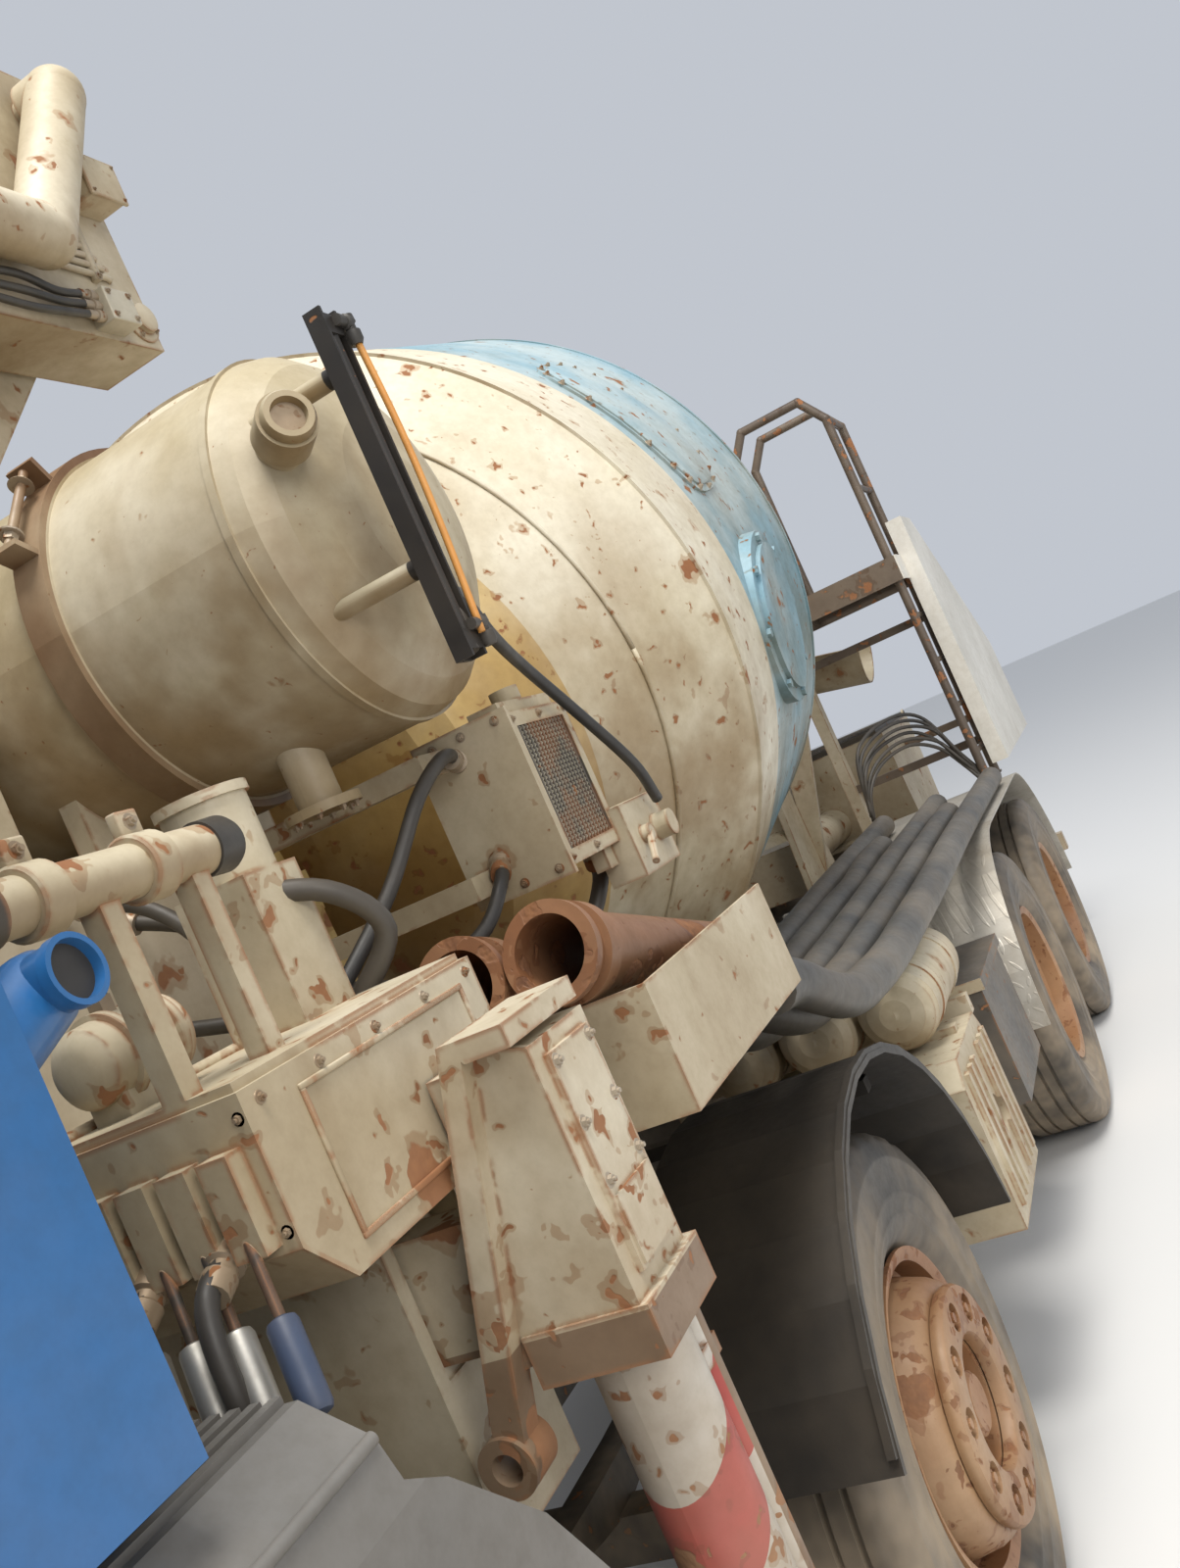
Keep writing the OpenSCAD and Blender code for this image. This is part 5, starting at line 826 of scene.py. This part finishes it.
for index, (along, radius) in enumerate(((0.6, 0.966), (3.05, 0.8738)), 1):
    sweep("drum_weld_%d" % index, [drum_place(along, math.radians(3 * k), radius + 0.001)
            for k in range(121)], 0.006, drum_finish, "drum", sides=6, smooth=False)
bm = bmesh.new()
rings = []
for share, lift in ((0.0, 0.016), (0.5, 0.016), (0.9, 0.016), (0.93, 0.013), (0.93, 0.008), (1.0, 0.008),
                    (1.0, -0.004)):
    turns = [2 * math.pi * step / 56 for step in range(56)]
    rings.append([bm.verts.new(drum_place(*hatch_place(turn, share), shell_radius + lift))
                  for turn in turns])
skin(bm, rings)
bm.faces.new(rings[-1])
bmesh.ops.remove_doubles(bm, verts=bm.verts, dist=1e-5)
shade(bm)
for face in bm.faces:
    face.smooth = len(face.verts) < 8
fit(link_mesh("drum_hatch", bm, drum_finish), "drum")
hatch_bolts = []
for step in range(18):
    place = hatch_place(2 * math.pi * (step + 0.5) / 18, 0.965)
    foot = drum_place(*place, 1.132)
    hatch_bolts.append((foot, drum_place(*place, 1.2) - foot))
bolts("hatch_bolts", hatch_bolts, 0.016, body="drum")
for blade in range(2):
    bm = bmesh.new()
    strips = []
    for step in range(73):
        along = 4.33 - step * 0.0165
        shell = mouth_radius + (shell_radius - mouth_radius) * (4.35 - along) / 2.25
        angle = math.pi * blade + step * math.radians(7.5)
        strips.append([bm.verts.new(drum_place(along + shift, angle, shell - depth))
                       for depth, shift in ((0.012, 0.0), (0.12, 0.012), (0.25, 0.035))])
    for low, high in zip(strips, strips[1:]):
        for k in range(2):
            face = bm.faces.new((low[k], low[k + 1], high[k + 1], high[k]))
            face.smooth = True
    spiral = link_mesh("drum_blade_%d" % (blade + 1), bm)
    plate = spiral.modifiers.new("plate", "SOLIDIFY")
    plate.thickness = 0.006
    apply_modifier(spiral, plate)
    spiral.data.materials.append(rusty_pipe)
    fit(spiral, "drum")

# Oil cooler: folded fins between its flat tubes, in one mesh of thin plates, and bolts round its frame
bm = bmesh.new()
for column in range(13):
    left = 1.2862 + 0.0145 * column
    for row in range(52):
        base = 1.7895 + 0.0043 * row
        ends = (left, left + 0.0091) if row % 2 else (left + 0.0091, left)
        for lift in (0.0, 0.0009):
            corners = [bm.verts.new((x, y, z + lift)) for x, y, z in ((ends[0], 1.0385, base),
                    (ends[0], 1.0472, base), (ends[1], 1.0472, base + 0.0043),
                    (ends[1], 1.0385, base + 0.0043))]
            if lift == 0.0:
                under = corners
        bm.faces.new(corners)
        bm.faces.new(reversed(under))
        for k in range(4):
            m = (k + 1) % 4
            bm.faces.new((under[k], under[m], corners[m], corners[k]))
bmesh.ops.recalc_face_normals(bm, faces=bm.faces)
fin_metal = weathered("fin_metal", (0.44, 0.4, 0.31), (0.56, 0.51, 0.4), streaks=0.05, dust=0.25,
                      metallic=0.15)
fit(link_mesh("cooler_fins", bm, fin_metal), "chassis")
bolts("cooler_bolts", [((x, 1.049, z), (0, 1, 0)) for x in (1.262, 1.377, 1.493) for z in (1.773, 2.027)]
      + [((1.514, y, z), (1, 0, 0)) for y in (0.9, 0.96, 1.03) for z in (1.765, 2.035)], 0.012)

# Thin lines in loops behind the thick hoses, from the drum's stand to the ladder's foot
for index in range(6):
    lift, turn = 0.03 * index, 0.012 * math.sin(2.4 * index)
    sweep("thin_line_%d" % (index + 1), [(-2.58 + turn, 0.66, 1.24 + 0.01 * index),
            (-2.6 - turn, 0.7, 1.38 + lift), (-2.7, 0.78 + turn, 1.47 + lift),
            (-2.84 + turn, 0.9, 1.49 + lift), (-2.95, 1.0 + turn, 1.42 + lift),
            (-2.98 - turn, 1.07, 1.3 + 0.5 * lift), (-2.975 - 0.011 * index, 1.125, 1.19 + 0.01 * index)],
          0.0085, hydraulic_hose)

# Boom's rear end, left side: pipes that end in the plate, a valve block with three couplings and two
# hoses, a pin cap and a box with a lid
for index, height in enumerate((3.312, 3.334, 3.356, 3.378, 3.4, 3.422)):
    rear = 1.045 + 0.012 * index
    sweep("boom_pipe_%d" % (index + 1), [(rear, 0.393, height), (rear + 0.004, 0.401, height),
            (rear + 0.02, 0.4035, height), (4.45, 0.4035, height)], 0.0075, cream, "boom_2", smooth=False)
for index in range(9):
    clamp_x = 1.1 + 0.4 * index
    sweep("boom_clamp_%d" % index, [(clamp_x, 0.4035, 3.296), (clamp_x, 0.4035, 3.438)], 0.0125, cream,
          "boom_2", sides=4, smooth=False)
    bolts("boom_clamp_bolts_%d" % index, [((clamp_x, 0.4125, z), (0, 1, 0)) for z in (3.303, 3.431)], 0.012,
          body="boom_2")
lathe("boom_pin_cap", (0.995, 0.392, 3.225), (0.995, 0.418, 3.225), [(0, 0.052), (0.28, 0.052),
        (0.36, 0.034), (0.9, 0.034), (1, 0.03)], cream, "boom_2", sides=32)
bolts("boom_cap_bolts", [((0.995 + 0.043 * math.cos(a), 0.4, 3.225 + 0.043 * math.sin(a)), (0, 1, 0))
        for a in (0.5, 2.07, 3.64, 5.21)], 0.01, body="boom_2")
block("boom_valve", (1.075, 0.393, 3.172), (1.165, 0.45, 3.248), 0.004, fin_metal, "boom_2")
bolts("boom_valve_bolts", [((x, 0.449, z), (0, 1, 0)) for x in (1.088, 1.152) for z in (3.184, 3.236)],
      0.011, body="boom_2")
for index, height in enumerate((3.187, 3.21, 3.233)):
    lathe("boom_valve_end_%d" % (index + 1), (1.163, 0.424, height), (1.215, 0.424, height), [(0, 0.0105),
            (0.2, 0.0105), (0.22, 0.013), (0.5, 0.013), (0.52, 0.0095), (1, 0.0095)], fitting_steel,
          "boom_2", sides=14)
    sweep("boom_hose_%d" % (index + 1), [(1.205, 0.424, height), (1.29, 0.428, height - 0.012),
            (1.4, 0.43, height - 0.022 + 0.012 * index), (1.56, 0.418, height - 0.006),
            (1.7, 0.404, height), (1.78, 0.4, height)], 0.0085, hydraulic_hose, "boom_2")
block("boom_box", (0.975, 0.393, 3.47), (1.085, 0.47, 3.56), 0.006, cream, "boom_2")
block("boom_box_lid", (0.971, 0.468, 3.466), (1.089, 0.477, 3.564), 0.003, cream, "boom_2")
bolts("boom_box_bolts", [((x, 0.4765, z), (0, 1, 0)) for x in (0.981, 1.079) for z in (3.476, 3.554)],
      0.007, body="boom_2")

# Controls: grips of bare aluminium and one of blue plastic on the levers, clamps on the manifold pipe,
# a raised frame on the box, and bolts
aluminium = weathered("grip_aluminium", (0.4, 0.39, 0.36), (0.52, 0.5, 0.46), chips=0.3, streaks=0.5,
                      dust=0.3, metallic=0.8)
blue_plastic = weathered("blue_plastic", (0.03, 0.05, 0.1), (0.06, 0.08, 0.13), dust=0.4)
for index in range(5):
    top = Vector((2.58, 0.845 + 0.056 * index, 1.518))
    foot = Vector((2.615, 0.874 + 0.056 * index, 1.433))
    lathe("lever_grip_%d" % (index + 1), top, foot, [(0, 0.008), (0.03, 0.0145), (0.08, 0.0165),
            (0.93, 0.0165), (0.98, 0.0145), (1, 0.01)], blue_plastic if index == 4 else aluminium, sides=24)
for name, clamp_x in (("manifold_clamp_rear", 2.42), ("manifold_clamp_front", 2.585)):
    lathe(name, (clamp_x - 0.02, 1.0, 1.975), (clamp_x + 0.02, 1.0, 1.975),
          [(0, 0.036), (0.06, 0.039), (0.94, 0.039), (1, 0.036)], control_paint, sides=28)
    block(name + "_ear", (clamp_x - 0.017, 0.992, 2.005), (clamp_x + 0.017, 1.008, 2.04), 0.003,
          control_paint)
    bolts(name + "_bolt", [((clamp_x, 1.007, 2.026), (0, 1, 0)), ((clamp_x, 0.993, 2.026), (0, -1, 0))],
          0.013)
for name, low, high in (("panel_low", (2.06, 1.084, 1.525), (2.44, 1.089, 1.533)),
                        ("panel_high", (2.06, 1.084, 1.692), (2.44, 1.089, 1.7)),
                        ("panel_rear", (2.06, 1.084, 1.531), (2.068, 1.089, 1.694)),
                        ("panel_front", (2.432, 1.084, 1.531), (2.44, 1.089, 1.694))):
    block("controls_" + name, low, high, 0.002, control_paint)
bolts("controls_bolts", [((x, 1.085, 1.709), (0, 1, 0)) for x in (2.035, 2.15, 2.27, 2.39, 2.5)]
      + [((2.529, y, z), (1, 0, 0)) for y in (0.79, 1.075) for z in (1.58, 1.7)], 0.01)

# Outriggers: bolts on the cover panels, nuts on the straps of the tank and of its outlet
for letter, side in both_sides:
    bolts("cover_bolts_" + letter, [((x, side * 1.245, z), (0, side, 0)) for x in (2.099, 2.201)
            for z in (1.438, 1.51, 1.588)], 0.013, body="outrigger_" + letter)
for index, y in enumerate((-0.6, 0.6)):
    high, low = Vector((1.8283, y, 2.6925)), Vector((1.9391, y, 2.5507))
    way = (high - low).normalized()
    bolts("strap_nuts_%d" % index, [(high - way * 0.035, way), (low + way * 0.035, -way)], 0.026)
bolts("outlet_bolts", [((1.71 + 0.053 * math.cos(a), 0.78 + 0.053 * math.sin(a), 2.002), (0, 0, -1))
                       for a in (0.39, 1.18, 1.96, 2.75, 3.53, 4.32, 5.11, 5.89)], 0.012)

# Nozzle on the tank's left dome: a painted rim round a rusty bore
boss = Vector((1.9, 1.107, 2.508))
out = Vector((0.038, 0.042, 0.006)).normalized()
lathe("tank_nozzle", boss - out * 0.004, boss + out * 0.016, [(0, 0.04), (0.7, 0.04), (1, 0.036),
        (1, 0.027), (0.25, 0.025)], tank_paint, sides=28)
lathe("tank_nozzle_bore", boss - out * 0.002, boss + out * 0.002, [(0, 0.0255), (1, 0.0255)], fitting_steel,
      sides=28)

# Turned-out elbows on the cab's air intakes, with a rim and a black disc just inside as painted shade in
# the bore
for letter, side in both_sides:
    end = Vector((2.728, side * 1.158, 1.89))
    out = Vector((0, side, 0.06)).normalized()
    lathe("intake_elbow_" + letter, end - out * 0.085, end, [(0, 0.01), (0.08, 0.026), (0.18, 0.03),
            (0.84, 0.03), (0.86, 0.0325), (1, 0.0325), (1, 0.027), (0.86, 0.026)], cab_blue, sides=32)
    # A black disc just inside the elbow: painted shade of the open bore
    lathe("intake_shade_disc_" + letter, end - out * 0.013, end - out * 0.011, [(0, 0.0265), (1, 0.0265)],
          hydraulic_hose, sides=32)
    lathe("intake_cap_" + letter, (2.735, side * 1.102, 1.881), (2.692, side * 1.102, 1.9), [(0, 0.0355),
            (0.35, 0.036), (0.62, 0.032), (0.86, 0.021), (1, 0.006)], cab_blue, sides=32)

# Above the controls: the manifold's black end cap and a small ringed pump motor on its seat, and a
# bolted panel on the side of the tower
lathe("manifold_cap", (2.322, 1.0, 1.975), (2.268, 1.0, 1.975), [(0, 0.0335), (0.7, 0.0345), (0.88, 0.03),
        (0.97, 0.019), (1, 0.008)], hydraulic_hose, sides=32)
lathe("pump_motor", (2.325, 0.85, 1.8), (2.475, 0.85, 1.8), [(0, 0.042), (0.04, 0.05), (0.12, 0.05),
        (0.13, 0.055), (0.22, 0.055), (0.23, 0.05), (0.6, 0.05), (0.61, 0.055), (0.7, 0.055), (0.71, 0.048),
        (0.9, 0.046), (0.97, 0.036), (1, 0.022)], control_paint, sides=40)
block("pump_motor_seat", (2.35, 0.822, 1.73), (2.45, 0.878, 1.765), 0.003, control_paint)
lathe("pump_fitting", (2.4, 0.85, 1.843), (2.4, 0.85, 1.868), [(0, 0.016), (1, 0.016)], fitting_steel,
      sides=6)
sweep("pump_hose", [(2.4, 0.85, 1.86), (2.402, 0.862, 1.9), (2.415, 0.91, 1.935), (2.432, 0.975, 1.965)],
      0.011, hydraulic_hose)
block("tower_panel", (1.57, 0.479, 1.925), (1.735, 0.486, 2.035), 0.003, cream)
bolts("tower_panel_bolts", [((x, 0.4855, z), (0, 1, 0)) for x in (1.582, 1.723) for z in (1.938, 2.022)],
      0.011)

# Polished metal of lamps and mirrors
chrome = weathered("lamp_chrome", (0.72, 0.72, 0.7), (0.78, 0.78, 0.76), streaks=0.1, dust=0.1,
                   metallic=1.0, bump=0.05)

# Parked wipers on the windscreen and mirror glass
for letter, side in both_sides:
    foot = Vector((4.3, side * 0.12, 1.992))
    knee = Vector((4.255, side * 0.5, 2.072))
    lathe("wiper_pivot_" + letter, foot - Vector((0.03, 0, 0.006)), foot + Vector((0.012, 0, 0.003)),
          [(0, 0.016), (0.7, 0.018), (0.95, 0.016), (1, 0.01)], hydraulic_hose, sides=20)
    sweep("wiper_arm_" + letter, [foot, foot.lerp(knee, 0.5) + Vector((0.012, 0, 0)), knee], 0.006,
          hydraulic_hose, sides=8)
    sweep("wiper_blade_" + letter, [(4.25, side * 0.2, 2.062), (4.252, side * 0.5, 2.074),
            (4.247, side * 0.82, 2.064)], 0.0065, hydraulic_hose, sides=6)
    low_y, high_y = sorted((side * 1.295, side * 1.465))
    block("mirror_glass_" + letter, (4.2165, low_y, 1.9), (4.2215, high_y, 2.48), 0.002, chrome)

# Lamps: two round headlamps a side behind clear glass, and the rear clusters
red_glass = weathered("red_lens", (0.35, 0.012, 0.01), (0.42, 0.03, 0.02), streaks=0.1, dust=0.2, coat=0.6,
                      bump=0.05)
amber_glass = weathered("amber_lens", (0.55, 0.2, 0.015), (0.6, 0.26, 0.04), streaks=0.1, dust=0.2,
                        coat=0.6, bump=0.05)
lens_glass = plain("lens_glass", (0.86, 0.9, 0.9), 0.08, 0.85)
for letter, side in both_sides:
    for index, y in enumerate((0.805, 1.02)):
        lathe("headlamp_%s%d" % (letter, index + 1), (4.35, side * y, 0.77), (4.371, side * y, 0.77),
              [(0, 0.088), (0.75, 0.088), (1, 0.083), (1, 0.076), (0.75, 0.07), (0.55, 0.045),
               (0.45, 0.014), (0.62, 0.012)], chrome, sides=40)
        lathe("headlamp_glass_%s%d" % (letter, index + 1), (4.3655, side * y, 0.77),
              (4.3735, side * y, 0.77), [(0, 0.076), (0.4, 0.074), (0.75, 0.052), (1, 0.02)], lens_glass,
              sides=40)
    for index, material in enumerate((red_glass, amber_glass, red_glass)):
        y = 0.8975 + 0.105 * index
        block("rear_lens_%s%d" % (letter, index + 1), (-4.738, side * y - 0.043, 0.504),
              (-4.726, side * y + 0.043, 0.576), 0.004, material)
